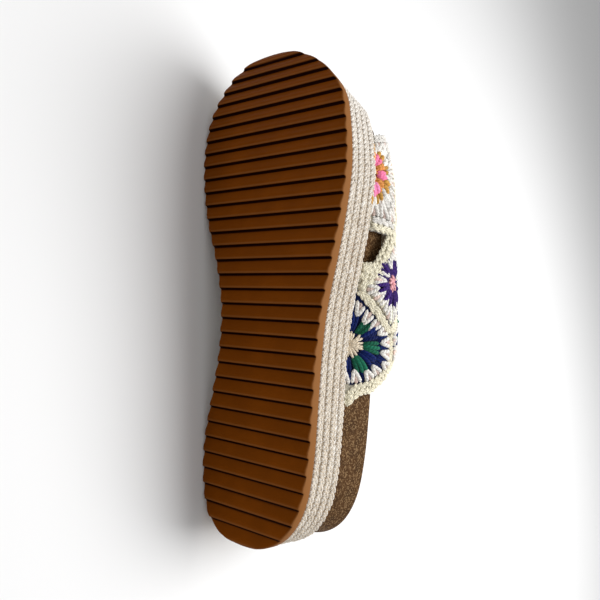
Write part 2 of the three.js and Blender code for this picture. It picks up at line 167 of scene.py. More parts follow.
def lying():
    """Rotation from the upright sandal to the one on its inner side: yaw, then toe to -X, then tilt."""
    to_floor = np.array([[0, -1, 0], [0, 0, 1], [-1, 0, 0]])
    cy, sy, ct, st = np.cos(YAW), np.sin(YAW), np.cos(TILT), np.sin(TILT)
    yaw = np.array([[cy, -sy, 0], [sy, cy, 0], [0, 0, 1]])
    tilt = np.array([[1, 0, 0], [0, ct, -st], [0, st, ct]])
    return tilt @ to_floor @ yaw


LYING = lying()


def to_row(points):
    """Sole coordinates to the row frame in metres.

    From the start of the toe spring the sole rolls up round an axis above it, by distance over radius.
    The sandal is then laid on its side, and yarn that would lie below the floor is flattened onto it.
    """
    x, s, h = np.moveaxis(points, -1, 0)
    angle = np.maximum(s - SPRING_START, 0) / SPRING_RADIUS
    reach = SPRING_RADIUS - h
    y = np.minimum(s, SPRING_START) + reach * np.sin(angle)
    z = h + reach * (1 - np.cos(angle))
    laid = np.stack([x, y, z], -1) @ LYING.T + PLACE
    laid[..., 2] = np.maximum(laid[..., 2], 0)
    return laid / MM


def loop_round(at, inset):
    """Loop round the sole: inner edge forward, outer edge back, moved in along its normal by the inset."""
    inner = np.stack([edge(at, INNER), at], -1)
    outer = np.stack([edge(at, OUTER), at], -1)[-2:0:-1]
    loop = np.concatenate([inner, outer])
    along = normalised(np.roll(loop, -1, 0) - np.roll(loop, 1, 0))
    inset = inset(loop[:, 1]) if callable(inset) else inset
    return loop + np.asarray(inset)[..., None] * np.stack([-along[:, 1], along[:, 0]], -1)


def raised(loop, height):
    """Loop in the plane of the sole, lifted to a height that may change along the sole."""
    height = height(loop[:, 1]) if callable(height) else np.full(len(loop), float(height))
    return np.column_stack([loop, height])


def rungs(loop, shares, height):
    """Rows of points across a loop, heel to toe, each from the outer to the inner edge, flat or on a dish."""
    half = len(loop) // 2
    index = np.arange(half + 1)
    inner, outer = loop[index], loop[-index % len(loop)]
    share = np.asarray(shares)[None, :, None]
    across = outer[:, None] + (inner - outer)[:, None] * share
    if callable(height):
        height = height(across[..., 1], np.broadcast_to(share[..., 0], across.shape[:2]))
    lift = np.broadcast_to(height, across.shape[:2])
    return np.concatenate([across, lift[..., None]], -1)


class Cloth:
    """Grids of points that become one mesh, with a UV per corner and a tint per point."""

    def __init__(self):
        self.points, self.tints, self.quads, self.uvs = [], [], [], []
        self.count = 0

    def add(
        self, points, tint=(1, 1, 1), u=None, v=None,
        round_rows=False, round_columns=False, flip=False, keep=None,
    ):
        """Adds grids of shape (..., rows, columns, 3), joined to themselves where they are round.

        A corner's u goes from row to row and its v from column to column. keep picks the cells to be made.
        """
        rows, columns = points.shape[-3:-1]
        flat = points.reshape(-1, rows, columns, 3)
        grids = len(flat)
        row_ends = rows + 1 if round_rows else rows
        column_ends = columns + 1 if round_columns else columns
        r, c = np.meshgrid(np.arange(row_ends - 1), np.arange(column_ends - 1), indexing="ij")
        corners = [(r, c), (r, c + 1), (r + 1, c + 1), (r + 1, c)]
        if flip:
            corners = corners[::-1]
        quad = np.stack([(a % rows) * columns + b % columns for a, b in corners], -1).reshape(-1, 4)
        u = np.arange(row_ends) if u is None else np.asarray(u, float)
        v = np.linspace(0, 1, column_ends) if v is None else np.asarray(v, float)
        u = np.broadcast_to(u.reshape(-1, row_ends), (grids, row_ends))
        corner_u = np.stack([u[:, a] for a, _ in corners], -1).reshape(grids, -1, 4)
        corner_v = np.stack([v[b] for _, b in corners], -1).reshape(-1, 4)
        uv = np.stack([corner_u, np.broadcast_to(corner_v, corner_u.shape)], -1)
        start = self.count + np.arange(grids)[:, None, None] * rows * columns
        quads = start + quad
        if keep is not None:
            quads, uv = quads[:, keep.ravel()], uv[:, keep.ravel()]
        tint = np.asarray(tint, float)
        if tint.ndim == 2:
            tint = tint[:, None, None, :]
        self.points.append(flat.reshape(-1, 3))
        self.tints.append(np.broadcast_to(tint, flat.shape).reshape(-1, 3))
        self.quads.append(quads.reshape(-1, 4))
        self.uvs.append(uv.reshape(-1, 2))
        self.count += grids * rows * columns

    def piece(self, name, material, replaced=(), sharp=None):
        """Makes the mesh object, in place in the row frame, and parents it to the body's empty."""
        points = to_row(np.concatenate(self.points))
        quads = np.concatenate(self.quads)
        mesh = bpy.data.meshes.new(name)
        mesh.vertices.add(len(points))
        mesh.vertices.foreach_set("co", points.astype(np.float32).ravel())
        mesh.loops.add(quads.size)
        mesh.loops.foreach_set("vertex_index", quads.astype(np.int32).ravel())
        mesh.polygons.add(len(quads))
        mesh.polygons.foreach_set("loop_start", np.arange(0, quads.size, 4, dtype=np.int32))
        mesh.update(calc_edges=True)
        uv = mesh.uv_layers.new(name="along_and_round")
        uv.uv.foreach_set("vector", np.concatenate(self.uvs).astype(np.float32).ravel())
        tint = mesh.attributes.new("tint", "FLOAT_COLOR", "POINT")
        tinted = np.column_stack([np.concatenate(self.tints), np.ones(len(points))])
        tint.data.foreach_set("color", tinted.astype(np.float32).ravel())
        shell = bmesh.new()
        shell.from_mesh(mesh)
        bmesh.ops.remove_doubles(shell, verts=shell.verts, dist=WELD)
        shell.to_mesh(mesh)
        shell.free()
        mesh.validate()
        mesh.shade_smooth()
        if sharp is not None:
            mesh.set_sharp_from_angle(angle=np.radians(sharp))
        made = bpy.data.objects.new(name, mesh)
        made.data.materials.append(material)
        bpy.context.scene.collection.objects.link(made)
        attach(made, BODY)
        if replaced:
            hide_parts(*replaced)
        return made


def tubes(paths, outs, radius, sides=6):
    """Circles round many paths at once, in the plane of the outward direction and the one square to it."""
    along = normalised(np.gradient(paths, axis=-2))
    across = normalised(np.cross(along, outs))
    up = np.cross(across, along)
    angle = 2 * np.pi * np.arange(sides) / sides
    circle = up[..., None, :] * np.cos(angle)[:, None] + across[..., None, :] * np.sin(angle)[:, None]
    radius = np.broadcast_to(radius, paths.shape[:-1])
    return paths[..., None, :] + radius[..., None, None] * circle


def rounded(t, fullness):
    """Radius along a stitch: none at its two ends, full in the middle, and blunter with more fullness."""
    return np.sqrt(np.clip(1 - np.abs(2 * t - 1) ** fullness, 0, 1))


def run_along(paths):
    """Distance along each path, in millimetres, at its points."""
    step = np.linalg.norm(np.diff(paths, axis=-2), axis=-1)
    return np.concatenate([np.zeros(step.shape[:-1] + (1,)), np.cumsum(step, -1)], -1)


def plait(centre, across, outs, distance, pitch, width, depth, spread):
    """Three strands that weave over and under: across by the sine of an angle, out by the sine of twice it.

    Each strand is split into yarns that lie beside it at the distances in spread.
    """
    angle = 2 * np.pi * (distance[None] / pitch + np.arange(3)[:, None] / 3)
    sideways = width * np.sin(angle)[..., None] * across
    outwards = depth * np.sin(2 * angle)[..., None] * outs
    strands = centre + sideways + outwards
    beside = normalised(np.cross(normalised(np.gradient(strands, axis=1)), outs))
    yarns = strands[:, None] + np.asarray(spread)[:, None, None] * beside[:, None]
    return yarns.reshape(-1, *centre.shape)


def section_points(s):
    """Seven points of the upper's section at station s: rope, bulge, flank, crown, flank, bulge, rope."""
    bulge, bulge_height, crown, ridge = (read(SECTIONS, column, s) for column in range(1, 5))
    outer, inner = edge(s, OUTER), edge(s, INNER)
    step = 0.5
    slope = [(edge(s + step, side) - edge(s - step, side)) / (2 * step) for side in (OUTER, INNER)]
    outer_slant, inner_slant = np.hypot(1, slope)
    top = (outer + inner) / 2 + ridge
    flank_height = bulge_height + (crown - bulge_height) * FLANK_UP
    base = np.full_like(s, UPPER_BASE)
    x = [
        outer + UPPER_BASE_INSET * outer_slant,
        outer - bulge,
        outer - bulge + (top - outer + bulge) * FLANK_ACROSS,
        top,
        inner + bulge + (top - inner - bulge) * FLANK_ACROSS,
        inner + bulge,
        inner - UPPER_BASE_INSET * inner_slant,
    ]
    h = [base, bulge_height, flank_height, crown, flank_height, bulge_height, base]
    return np.stack(x, -1), np.stack(h, -1)


def wall_middle(s, share):
    """Middle of the upper's wall; past either rope it runs straight down."""
    x, h = section_points(s)
    run = run_along(np.stack([x, h], -1))
    at = share * run[..., -1]
    held = np.clip(at, 0, run[..., -1])
    return np.stack([hermite(run, x, held), s, hermite(run, h, held) - np.abs(at - held)], -1)


def girth(s):
    """Length of the upper's section from rope to rope."""
    return run_along(np.stack(section_points(np.asarray(s, float)), -1))[..., -1]


def on_upper(s, share, lift):
    """Point at a height above the middle of the wall, and the outward direction there."""
    s, share = np.broadcast_arrays(np.asarray(s, float), np.asarray(share, float))
    s_step, share_step = 0.5, 0.004
    forward = wall_middle(s + s_step, share) - wall_middle(s - s_step, share)
    start = np.clip(share - share_step, 0, 1 - share_step)
    over = wall_middle(s, start + share_step) - wall_middle(s, start)
    outs = normalised(np.cross(over, forward))
    return wall_middle(s, share) + outs * np.asarray(lift)[..., None], outs


def rear_edge(share):
    """Station of the upper's rear edge, the same on both sides of the crown."""
    return read(FREE_EDGES, 1, np.minimum(share, 1 - share))


def front_edge(share):
    """Station of the upper's front edge, the same on both sides of the crown."""
    return read(FREE_EDGES, 2, np.minimum(share, 1 - share))


class Number:
    """A number in a shader. Python's operators on it add Math nodes."""

    def __init__(self, shader, socket):
        self.shader, self.socket = shader, socket

    def _math(self, operation, first, second):
        """Adds a Math node."""
        node = self.shader.node("ShaderNodeMath", {"operation": operation}, {0: first, 1: second})
        return Number(self.shader, node.outputs[0])

    def __add__(self, other):
        return self._math("ADD", self, other)

    def __radd__(self, other):
        return self._math("ADD", other, self)

    def __mul__(self, other):
        return self._math("MULTIPLY", self, other)

    def __rmul__(self, other):
        return self._math("MULTIPLY", other, self)

    def sine(self):
        """Sine of the number, in radians."""
        return self._math("SINE", self, 0.0)

    def step_between(self, low, high, most=1.0):
        """0 below low, most above high, smooth between them."""
        settings = {"interpolation_type": "SMOOTHSTEP"}
        sockets = {"Value": self, "From Min": low, "From Max": high, "To Max": most}
        node = self.shader.node("ShaderNodeMapRange", settings, sockets)
        return Number(self.shader, node.outputs["Result"])


class Finish:
    """A procedural material: one Principled shader and the nodes that feed it."""

    def __init__(self, name, roughness, sheen=0.0, gloss=0.5):
        self.material = bpy.data.materials.new(name)
        self.material.use_nodes = True
        self.tree = self.material.node_tree
        self.shader = self.tree.nodes["Principled BSDF"]
        self.feed(self.shader.inputs["Roughness"], roughness)
        self.shader.inputs["Sheen Weight"].default_value = sheen
        self.shader.inputs["Sheen Roughness"].default_value = 0.5
        self.shader.inputs["Specular IOR Level"].default_value = gloss

    def feed(self, socket, value):
        """Links a socket, or sets its value."""
        if isinstance(value, Number):
            value = value.socket
        if isinstance(value, bpy.types.NodeSocket):
            self.tree.links.new(value, socket)
        else:
            socket.default_value = value

    def node(self, kind, settings=None, sockets=None):
        """Adds a node: its settings first, then the values or links of its sockets."""
        made = self.tree.nodes.new(kind)
        for key, setting in (settings or {}).items():
            setattr(made, key, setting)
        for key, value in (sockets or {}).items():
            self.feed(made.inputs[key], value)
        return made

    def place(self):
        """Object coordinates, in metres."""
        return self.node("ShaderNodeTexCoord").outputs["Object"]

    def tint(self):
        """Tint that the mesh carries at its points."""
        return self.node("ShaderNodeAttribute", {"attribute_name": "tint"}).outputs["Color"]

    def along_and_round(self):
        """Distance along a strand in millimetres, and share of the way round it."""
        uv = self.node("ShaderNodeUVMap", {"uv_map": "along_and_round"})
        split = self.node("ShaderNodeSeparateXYZ", None, {0: uv.outputs["UV"]})
        return Number(self, split.outputs["X"]), Number(self, split.outputs["Y"])

    def vector(self, x, y, z=0.0):
        """Three numbers as a vector."""
        return self.node("ShaderNodeCombineXYZ", None, {"X": x, "Y": y, "Z": z}).outputs["Vector"]

    def noise(self, at, scale, detail=2.0, rough=0.5):
        """Soft noise from 0 to 1."""
        sockets = {"Vector": at, "Scale": scale, "Detail": detail, "Roughness": rough}
        return Number(self, self.node("ShaderNodeTexNoise", None, sockets).outputs["Fac"])

    def grains(self, at, scale):
        """Distance from the middle of the nearest grain, and a colour by chance for each grain."""
        node = self.node("ShaderNodeTexVoronoi", {"feature": "F1"}, {"Vector": at, "Scale": scale})
        return Number(self, node.outputs["Distance"]), node.outputs["Color"]

    def blend(self, share, first, second, mode="MIX"):
        """Colour between two colours, by a share."""
        settings = {"data_type": "RGBA", "blend_type": mode}
        return self.node("ShaderNodeMix", settings, {0: share, 6: first, 7: second}).outputs[2]

    def grey(self, value):
        """A number as a colour."""
        return self.vector(value, value, value)

    def colour(self, value):
        """Sets the base colour."""
        self.feed(self.shader.inputs["Base Color"], value)

    def relief(self, height, depth, strength=1.0):
        """Bump of a height from 0 to 1 that stands for a depth in metres."""
        sockets = {"Height": height, "Distance": depth, "Strength": strength}
        bump = self.node("ShaderNodeBump", None, sockets)
        self.feed(self.shader.inputs["Normal"], bump.outputs["Normal"])


def rgba(colour):
    """Colour with full cover, as a shader's socket takes it."""
    return (*colour, 1.0)


def colour_property(name, description, default):
    """Property that holds a colour."""
    return FloatVectorProperty(
        name=name, description=description, subtype="COLOR", size=3, min=0.0, max=1.0, default=default
    )


def length_property(name, description, default):
    """Property that holds a length in metres."""
    return FloatProperty(name=name, description=description, unit="LENGTH", default=default)


class RubberLook(bpy.types.PropertyGroup):
    """Look of the outsole"""

    colour: colour_property("Rubber", "Colour of the outsole", (0.142, 0.0335, 0.0004))
    cloud: colour_property("Cloud", "Colour of the paler clouds in the rubber", (0.16786, 0.03983, 0.000772))
    # Painted shadow: this colour darkens the tread grooves' shaded walls and bottoms
    groove_shadow: colour_property("Groove", "Colour at the bottom of the tread's grooves", (0.010, 0.0009, 0.0002))
    # Painted light: this colour makes the side lip paler, as the same rubber where it is lit
    lit_lip: colour_property("Lip", "Colour of the side lip", (0.25, 0.105, 0.033))
    roughness: FloatProperty(
        name="Roughness", description="Roughness of the rubber", subtype="FACTOR", default=0.45, min=0, max=1
    )


class FoamLook(bpy.types.PropertyGroup):
    """Look of the platform block"""

    cell: colour_property("Cell", "Colour inside the foam's cells", (0.42, 0.36, 0.25))
    colour: colour_property("Foam", "Colour of the foam between its cells", (0.66, 0.6, 0.46))


class RopeLook(bpy.types.PropertyGroup):
    """Sizes and look of the wound rope"""

    rows: IntProperty(name="Rows", description="Rows of rope wound round the platform", default=4, min=1)
    pitch: length_property("Braid pitch", "Distance from one strand of the braid to the next", 0.003)
    reach: length_property("Strand length", "Length along the rope of a strand, from end to end", 0.0048)
    yarn: length_property("Strand radius", "Radius of a strand", 0.00088)
    colour: colour_property("Rope", "Colour of the rope", (0.735, 0.645, 0.52))
    fleck: colour_property("Fleck", "Colour of the darker fibres", (0.30, 0.19, 0.11))
    bleached: colour_property("Bleached", "Colour of the palest fibres", (0.97, 0.955, 0.925))


class CorkLook(bpy.types.PropertyGroup):
    """Look of the footbed"""

    colour: colour_property("Cork", "Colour of the cork grains", (0.084, 0.037, 0.0105))
    dark: colour_property("Dark cork", "Colour of clouds and dark grains", (0.0378, 0.01665, 0.004725))
    fleck: colour_property("Fleck", "Colour of the pale grains", (0.31, 0.19, 0.088))


class SuedeLook(bpy.types.PropertyGroup):
    """Look of the liner"""

    colour: colour_property("Suede", "Colour of the liner", (0.30, 0.175, 0.09))
    dark: colour_property("Dark suede", "Colour of the nap brushed the other way", (0.186, 0.1085, 0.0558))


class YarnLook(bpy.types.PropertyGroup):
    """Size and colours of the crochet yarn"""

    radius: length_property("Yarn radius", "Radius of a stitch", 0.00105)
    cream: colour_property("Cream", "Colour of most chains and the diamonds' posts", (0.90, 0.84, 0.66))
    white: colour_property("White", "Colour of the pointed loops and the front chains", (0.84, 0.81, 0.76))
    beige: colour_property("Beige", "Colour of the stitch inside a pointed loop", (0.60, 0.46, 0.40))
    shell: colour_property("Shell", "Colour of the rear motifs' star centres", (0.86, 0.74, 0.57))
    blue: colour_property("Blue", "Colour of the rear motifs", (0.002, 0.011, 0.095))
    green: colour_property("Green", "Colour of the clusters in the rear motifs", (0.009, 0.115, 0.065))
    purple: colour_property("Purple", "Colour of the diamond motifs", (0.036, 0.013, 0.125))
    blush: colour_property("Pale pink", "Colour of the diamonds' centres", (0.85, 0.42, 0.44))
    pink: colour_property("Pink", "Colour of the clusters in the front motifs", (0.86, 0.2, 0.37))
    orange: colour_property("Orange", "Colour of the front motifs", (0.66, 0.27, 0.07))
    gold: colour_property("Gold", "Colour of the front motifs' outer posts", (0.55, 0.29, 0.06))


class StageLook(bpy.types.PropertyGroup):
    """Floor, light and lens"""

    floor: colour_property("Floor", "Colour of the floor", (0.86, 0.86, 0.86))
    sky: FloatProperty(name="Sky", description="Strength of the even light all round", default=0.42)
    key: FloatProperty(name="Key light", description="Power of the lamp above", default=8.0, unit="POWER")
    fill: FloatProperty(name="Fill light", description="Power of the sole's lamp", default=0.5, unit="POWER")
    lens: FloatProperty(name="Lens", description="Focal length in millimetres", default=37.2, unit="CAMERA")


class SandalLook(bpy.types.PropertyGroup):
    """All settings of the sandal"""

    rubber: PointerProperty(type=RubberLook)
    foam: PointerProperty(type=FoamLook)
    rope: PointerProperty(type=RopeLook)
    cork: PointerProperty(type=CorkLook)
    suede: PointerProperty(type=SuedeLook)
    yarn: PointerProperty(type=YarnLook)
    stage: PointerProperty(type=StageLook)


# One ripple of the tread: places across it in millimetres, close together at the steep wall
RIPPLE_PLACES = np.array([
    0, 0.2, 0.45, 0.6, 0.7, 0.8, 1.0, 1.4, 1.9, 2.5, 2.8, 3.1, 3.7, 4.8, 5.9, 6.8, 7.05, 7.3,
])

# Painted light on a ripple: end of the painted shadow on the steep wall, start of the painted shadow at the
# bottom, the painted highlight on the crest, each with its fade
WALL_END, WALL_FADE = 0.7, 0.25
BOTTOM_START, BOTTOM_FADE = 6.8, 0.5
CREST, CREST_FADE = 1.0, 0.9

# Side of the outsole from the tread up: inset, height, part of the ripple, shares of the lip's painted light
# and of the grooves' painted shadow
SOLE_SIDE = np.array([
    [0.9, 0, 1, 0, 1], [0.35, 0.25, 0.75, 0.35, 0.6], [0.1, 0.7, 0.5, 0.8, 0], [0, 1.4, 0.25, 1, 0],
    [0, 3.2, 0, 1, 0], [0, OUTSOLE_TOP - 0.7, 0, 1, 0], [0.2, OUTSOLE_TOP - 0.2, 0, 1, 0],
    [0.7, OUTSOLE_TOP, 0, 1, 0],
])


def sharp_ripple(s):
    """Ripple with sharp corners: a steep drop, a flat land, then a slow rise."""
    phase = s % TREAD_PITCH
    land_end = TREAD_DROP + TREAD_LAND
    drop = TREAD_DEPTH * (1 - phase / TREAD_DROP)
    rise = TREAD_DEPTH * (phase - land_end) / (TREAD_PITCH - land_end)
    return np.maximum(np.maximum(drop, rise), 0)


def ripple(s):
    """Ripple of the tread: the mean of the sharp one over a short stretch to either side."""
    soft = np.linspace(-TREAD_SOFT, TREAD_SOFT, 7)
    return sharp_ripple(np.asarray(s)[..., None] + soft).mean(-1)


def painted_groove_shadow(s):
    """Share of painted shadow: 1 on the steep wall of a groove and the deepest part beside it, 0 on the rest
    of the ripple.
    """
    phase = s % TREAD_PITCH
    wall = np.clip((WALL_END - phase) / WALL_FADE, 0, 1)
    bottom = np.clip((phase - BOTTOM_START) / BOTTOM_FADE, 0, 1)
    return np.maximum(wall, bottom)


def painted_crest_highlight(s):
    """Share of painted highlight: 1 on the edge of the land beside the steep wall, fading over about a
    millimetre.
    """
    return np.clip(1 - np.abs(s % TREAD_PITCH - CREST) / CREST_FADE, 0, 1)


def sole_loop(at, inset, up, part):
    """Loop round the outsole at a height, plus a part of the ripple."""
    loop = loop_round(at, inset)
    return np.column_stack([loop, part * ripple(loop[:, 1]) + up])


def rubber_finish(look):
    """Satin rubber: slow clouds and fine dust, painted shadow in the grooves, painted highlight on the
    crests, and the side lip painted paler as lit rubber.
    """
    finish = Finish("satin_brown_rubber", look.roughness, gloss=0.02)
    shades = finish.node("ShaderNodeSeparateColor", None, {"Color": finish.tint()}).outputs
    groove_shadow, crest_highlight, lit_lip = (Number(finish, shades[name]) for name in ("Red", "Green", "Blue"))
    cloud = finish.noise(finish.place(), scale=60.0, detail=4.0)
    dust = finish.noise(finish.place(), scale=900.0, detail=3.0, rough=0.7)
    body = finish.blend(cloud.step_between(0.35, 0.75), rgba(look.colour), rgba(look.cloud))
    # Painted highlight: the crests take some of the lit lip's colour
    highlighted = finish.blend(crest_highlight * 0.4, body, rgba(look.lit_lip))
    # Painted light: the side lip is painted paler than the rest of the rubber
    with_lit_lip = finish.blend(lit_lip, highlighted, rgba(look.lit_lip))
    # Painted shadow: the grooves' steep walls and bottoms turn near black
    finish.colour(finish.blend(groove_shadow.step_between(0.1, 0.9), with_lit_lip, rgba(look.groove_shadow)))
    finish.feed(finish.shader.inputs["Roughness"], look.roughness - 0.08 + 0.22 * cloud + 0.1 * dust)
    finish.relief(0.7 * dust + 0.3 * cloud, depth=0.00008, strength=0.5)
    return finish.material


class SANDAL_OT_outsole(bpy.types.Operator):
    """Moulded outsole: loops round the sole with rounded edges, and a ripple tread right across"""

    bl_idname = "sandal.outsole"
    bl_label = "Outsole"

    def execute(self, context):
        ribs = np.arange(np.floor(HEEL_END / TREAD_PITCH), np.ceil(TOE_END / TREAD_PITCH) + 1)
        across_ribs = (ribs[:, None] * TREAD_PITCH + RIPPLE_PLACES).ravel()
        # more stations where the outline turns at heel and toe
        close, ends = stations(60), 8
        at = np.concatenate([across_ribs, close[:ends], close[-ends:]])
        at = np.unique(np.round(at[(at >= HEEL_END) & (at <= TOE_END)], 2))
        wall = np.stack([sole_loop(at, *row[:3]) for row in SOLE_SIDE])
        lit_lip, shadowed = SOLE_SIDE[:, 3, None], SOLE_SIDE[:, 4, None]
        s = wall[..., 1]
        # The tint carries painted light: groove shadow, crest highlight and the paler lit lip
        shades = np.broadcast_arrays(shadowed * painted_groove_shadow(s), (1 - lit_lip) * painted_crest_highlight(s), lit_lip)
        cloth = Cloth()
        cloth.add(wall, np.stack(shades, -1)[None], round_columns=True)
        bottom = rungs(wall[0, :, :2], np.linspace(0, 1, 13), lambda s, share: ripple(s))
        s = bottom[..., 1]
        # Painted groove shadow and crest highlight on the tread
        shades = [painted_groove_shadow(s), painted_crest_highlight(s), np.zeros_like(s)]
        cloth.add(bottom, np.stack(shades, -1)[None], flip=True)
        cloth.add(rungs(wall[-1, :, :2], [0, 1], OUTSOLE_TOP), (0, 0, 1))
        finish = rubber_finish(context.scene.sandal.rubber)
        cloth.piece("ripple_outsole", finish, ["outsole"], sharp=50)
        return {"FINISHED"}


class SANDAL_OT_platform(bpy.types.Operator):
    """Platform block inside the rope: the solid itself, in matt cellular foam"""

    bl_idname = "sandal.platform"
    bl_label = "Platform"

    def execute(self, context):
        look = context.scene.sandal.foam
        finish = Finish("platform_foam", 0.9)
        cells, _ = finish.grains(finish.place(), scale=900.0)
        finish.colour(finish.blend(cells, rgba(look.cell), rgba(look.colour)))
        finish.relief(cells, depth=0.0002)
        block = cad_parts["midsole"]
        block.data.materials.clear()
        block.data.materials.append(finish.material)
        return {"FINISHED"}


# Braid of the rope, in millimetres: bulge of a strand, clear room outside it, rise of the backing between
BRAID_BULGE, BRAID_CLEAR, BRAID_BACKING = 0.75, 0.15, 0.35
# Shares of a pitch along the rope: lead or lag of a row's two sides, step from row to row, spread by chance
SIDE_STEP, ROW_STEP, CHANCE_STEP = 0.25, 0.3, 0.05
# Half rows that a strand crosses, start and length of its bulge as shares of a half turn, points along it
STRAND_ACROSS, BULGE_START, BULGE_TURN, STRAND_POINTS = 1.3, 0.13, 0.83, 8
# Spread of the strands by chance: across and outwards in millimetres, of the radius, of red, green and blue
SPREAD_ACROSS, SPREAD_OUT, SPREAD_RADIUS, SPREAD_TONE = 0.05, 0.06, 0.1, [0.07, 0.09, 0.12]
# Station where the rope starts to be bleached, and the share that this grows to past the toe
BLEACH_START, BLEACH_MOST = 20.0, 0.9
# Section of the backing: gap above and below, inset and height of its cut corners; its colour is darkened by
# a factor, as painted shade in the gaps between strands
BACKING_GAP, BACKING_CUT, BACKING_CORNER, BACKING_SHADE = 0.1, 1.6, 0.8, 0.85


def rope_finish(look):
    """Hairy rope: fibres along each strand, and flecks about a millimetre long, darker and paler than it."""
    finish = Finish("plaited_rope", 0.92, sheen=0.1, gloss=0.2)
    along, round_it = finish.along_and_round()
    twisted = finish.vector(along * 0.55 + round_it * 1.2, round_it * 9.0)
    fibre = finish.noise(twisted, scale=3.2, detail=3.0, rough=0.65)
    streaked = finish.vector(along * 0.5, round_it * 2.2, along * 0.11)
    flecks = finish.noise(streaked, scale=2.6, rough=0.6)
    patch = finish.noise(finish.place(), scale=170.0)
    specks = finish.noise(finish.place(), scale=1150.0, rough=0.6)
    shade = finish.blend(fibre.step_between(0.42, 0.8, most=0.72), finish.tint(), rgba(look.fleck))
    aged = finish.blend(patch.step_between(0.55, 0.85, most=0.3), shade, rgba(look.fleck))
    dark = finish.blend(specks.step_between(0.52, 0.66, most=0.25), aged, rgba(look.fleck))
    finish.colour(finish.blend(flecks.step_between(0.5, 0.64, most=0.95), dark, rgba(look.bleached)))
    finish.relief(0.5 * fibre + 0.5 * specks, depth=0.0006, strength=0.9)
    return finish.material


def braid_strands(look, inset):
    """Strands of every row of the braid: their paths, outward directions, radii and tones.

    A strand runs along the rope at an even pace while it crosses from its row's edge past the middle.
    The sine of its bulge is low at both ends, so it dips under the strands from the other edge.
    """
    chance = np.random.default_rng(11)
    height = (ROPE_TOP - ROPE_BOTTOM) / look.rows
    yarn = look.yarn * MM
    loop = loop_round(stations(300), inset)
    closed = np.concatenate([loop, loop[:1]])
    run = run_along(closed)
    along = normalised(np.gradient(closed, axis=0))
    rim = np.column_stack([closed, along[:, 1], -along[:, 0]])
    count = int(round(run[-1] / (look.pitch * MM)))
    t = np.linspace(0, 1, STRAND_POINTS)
    row, side, strand = (grid[..., None] for grid in np.meshgrid(
        np.arange(look.rows), [-1, 1], np.arange(count), indexing="ij"
    ))

    def spread(amount):
        return amount * chance.standard_normal(strand.shape)

    start = (strand + SIDE_STEP * side + ROW_STEP * row + spread(CHANCE_STEP)) * run[-1] / count
    at = (start - look.reach * MM * (t - 0.5)) % run[-1]
    x, s, out_x, out_s = (np.interp(at, run, rim[:, column]) for column in range(4))
    across = side * (height - yarn) / 2 * (1 - STRAND_ACROSS * t) + spread(SPREAD_ACROSS)
    bulge = BRAID_BULGE * np.sin(np.pi * (BULGE_START + BULGE_TURN * t)) + spread(SPREAD_OUT)
    h = ROPE_BOTTOM + (row + 0.5) * height + across
    paths = np.stack([x + bulge * out_x, s + bulge * out_s, h], -1)
    outs = np.stack([out_x, out_s, np.zeros_like(out_x)], -1)
    radius = yarn * (1 + spread(SPREAD_RADIUS)) * rounded(t, fullness=4)
    tone = np.array(look.colour) * np.exp(chance.standard_normal((strand.size, 1)) * SPREAD_TONE)
    middle = s.reshape(strand.size, -1).mean(1, keepdims=True)
    worn = BLEACH_MOST * np.clip((middle - BLEACH_START) / TOE_END, 0, 1)
    return paths, outs, radius, tone + worn * (np.array(look.bleached) - tone)


def rope_backing(inset):
    """Closed band behind the strands: a section with its outer corners cut off, carried round the sole."""
    low, high = ROPE_BOTTOM + BACKING_GAP, ROPE_TOP - BACKING_GAP
    section = [
        (ROPE_DEPTH, low), (BACKING_CUT, low), (inset, low + BACKING_CORNER),
        (inset, high - BACKING_CORNER), (BACKING_CUT, high), (ROPE_DEPTH, high),
    ]
    at = stations(90)
    return np.stack([raised(loop_round(at, inwards), up) for inwards, up in section])


class SANDAL_OT_rope(bpy.types.Operator):
    """Rope wound round the platform: rows of braid that follow the sole's outline, on a plain backing"""

    bl_idname = "sandal.rope"
    bl_label = "Rope"

    def execute(self, context):
        look = context.scene.sandal.rope
        inset = BRAID_CLEAR + BRAID_BULGE + look.yarn * MM
        paths, outs, radius, tone = braid_strands(look, inset)
        cloth = Cloth()
        cloth.add(tubes(paths, outs, radius), np.clip(tone, 0, 1), u=run_along(paths), round_columns=True)
        backing = rope_backing(inset - BRAID_BACKING)
        # Painted shade: the backing's colour is darkened where it shows between the strands
        cloth.add(backing, np.array(look.colour) * BACKING_SHADE, round_rows=True, round_columns=True)
        cloth.piece("wound_rope", rope_finish(look), ["rope_wrap"])
        return {"FINISHED"}


# Rounded rim of the footbed: drop below the rim's height, distance in from the side
BED_ROUND = [(0.9, 0.0), (0.35, 0.15), (0.08, 0.5), (0.0, 1.0), (0.0, BED_RIM)]
# Edge of the liner: distance in, height above the rim
LINER_EDGE = [(0.0, LINER_GAP), (0.0, LINER_GAP + 0.8 * LINER), (0.4, LINER_GAP + LINER)]


def bed_inset(height):
    """Footbed side: it leans out as it rises."""
    return BED_INSET - BED_LEAN * (height - BED_BOTTOM)


def rim_height(s):
    """Height of the footbed's rim at station s."""
    return read(BED, 1, s)


def bed_height(s, share):
    """Dish of the footbed: the rim at both edges, falling with the cube of the distance to a broad middle."""
    dish = read(BED, 2, s)
    return dish + (rim_height(s) - dish) * np.abs(2 * share - 1) ** 3


def bed_loop(at, part, drop=0.0, inwards=0.0):
    """Loop round the footbed, part of the way from bottom to rim, less a drop, moved in from the side."""
    def height(s):
        return BED_BOTTOM + part * (rim_height(s) - BED_BOTTOM) - drop

    return raised(loop_round(at, lambda s: bed_inset(height(s)) + inwards), height)


def liner_loop(at, inwards, up):
    """Loop just inside the footbed's rim, moved in and lifted."""
    inset = BED_RIM + LINER_GAP + inwards
    return raised(loop_round(at, lambda s: bed_inset(rim_height(s)) + inset), lambda s: rim_height(s) + up)


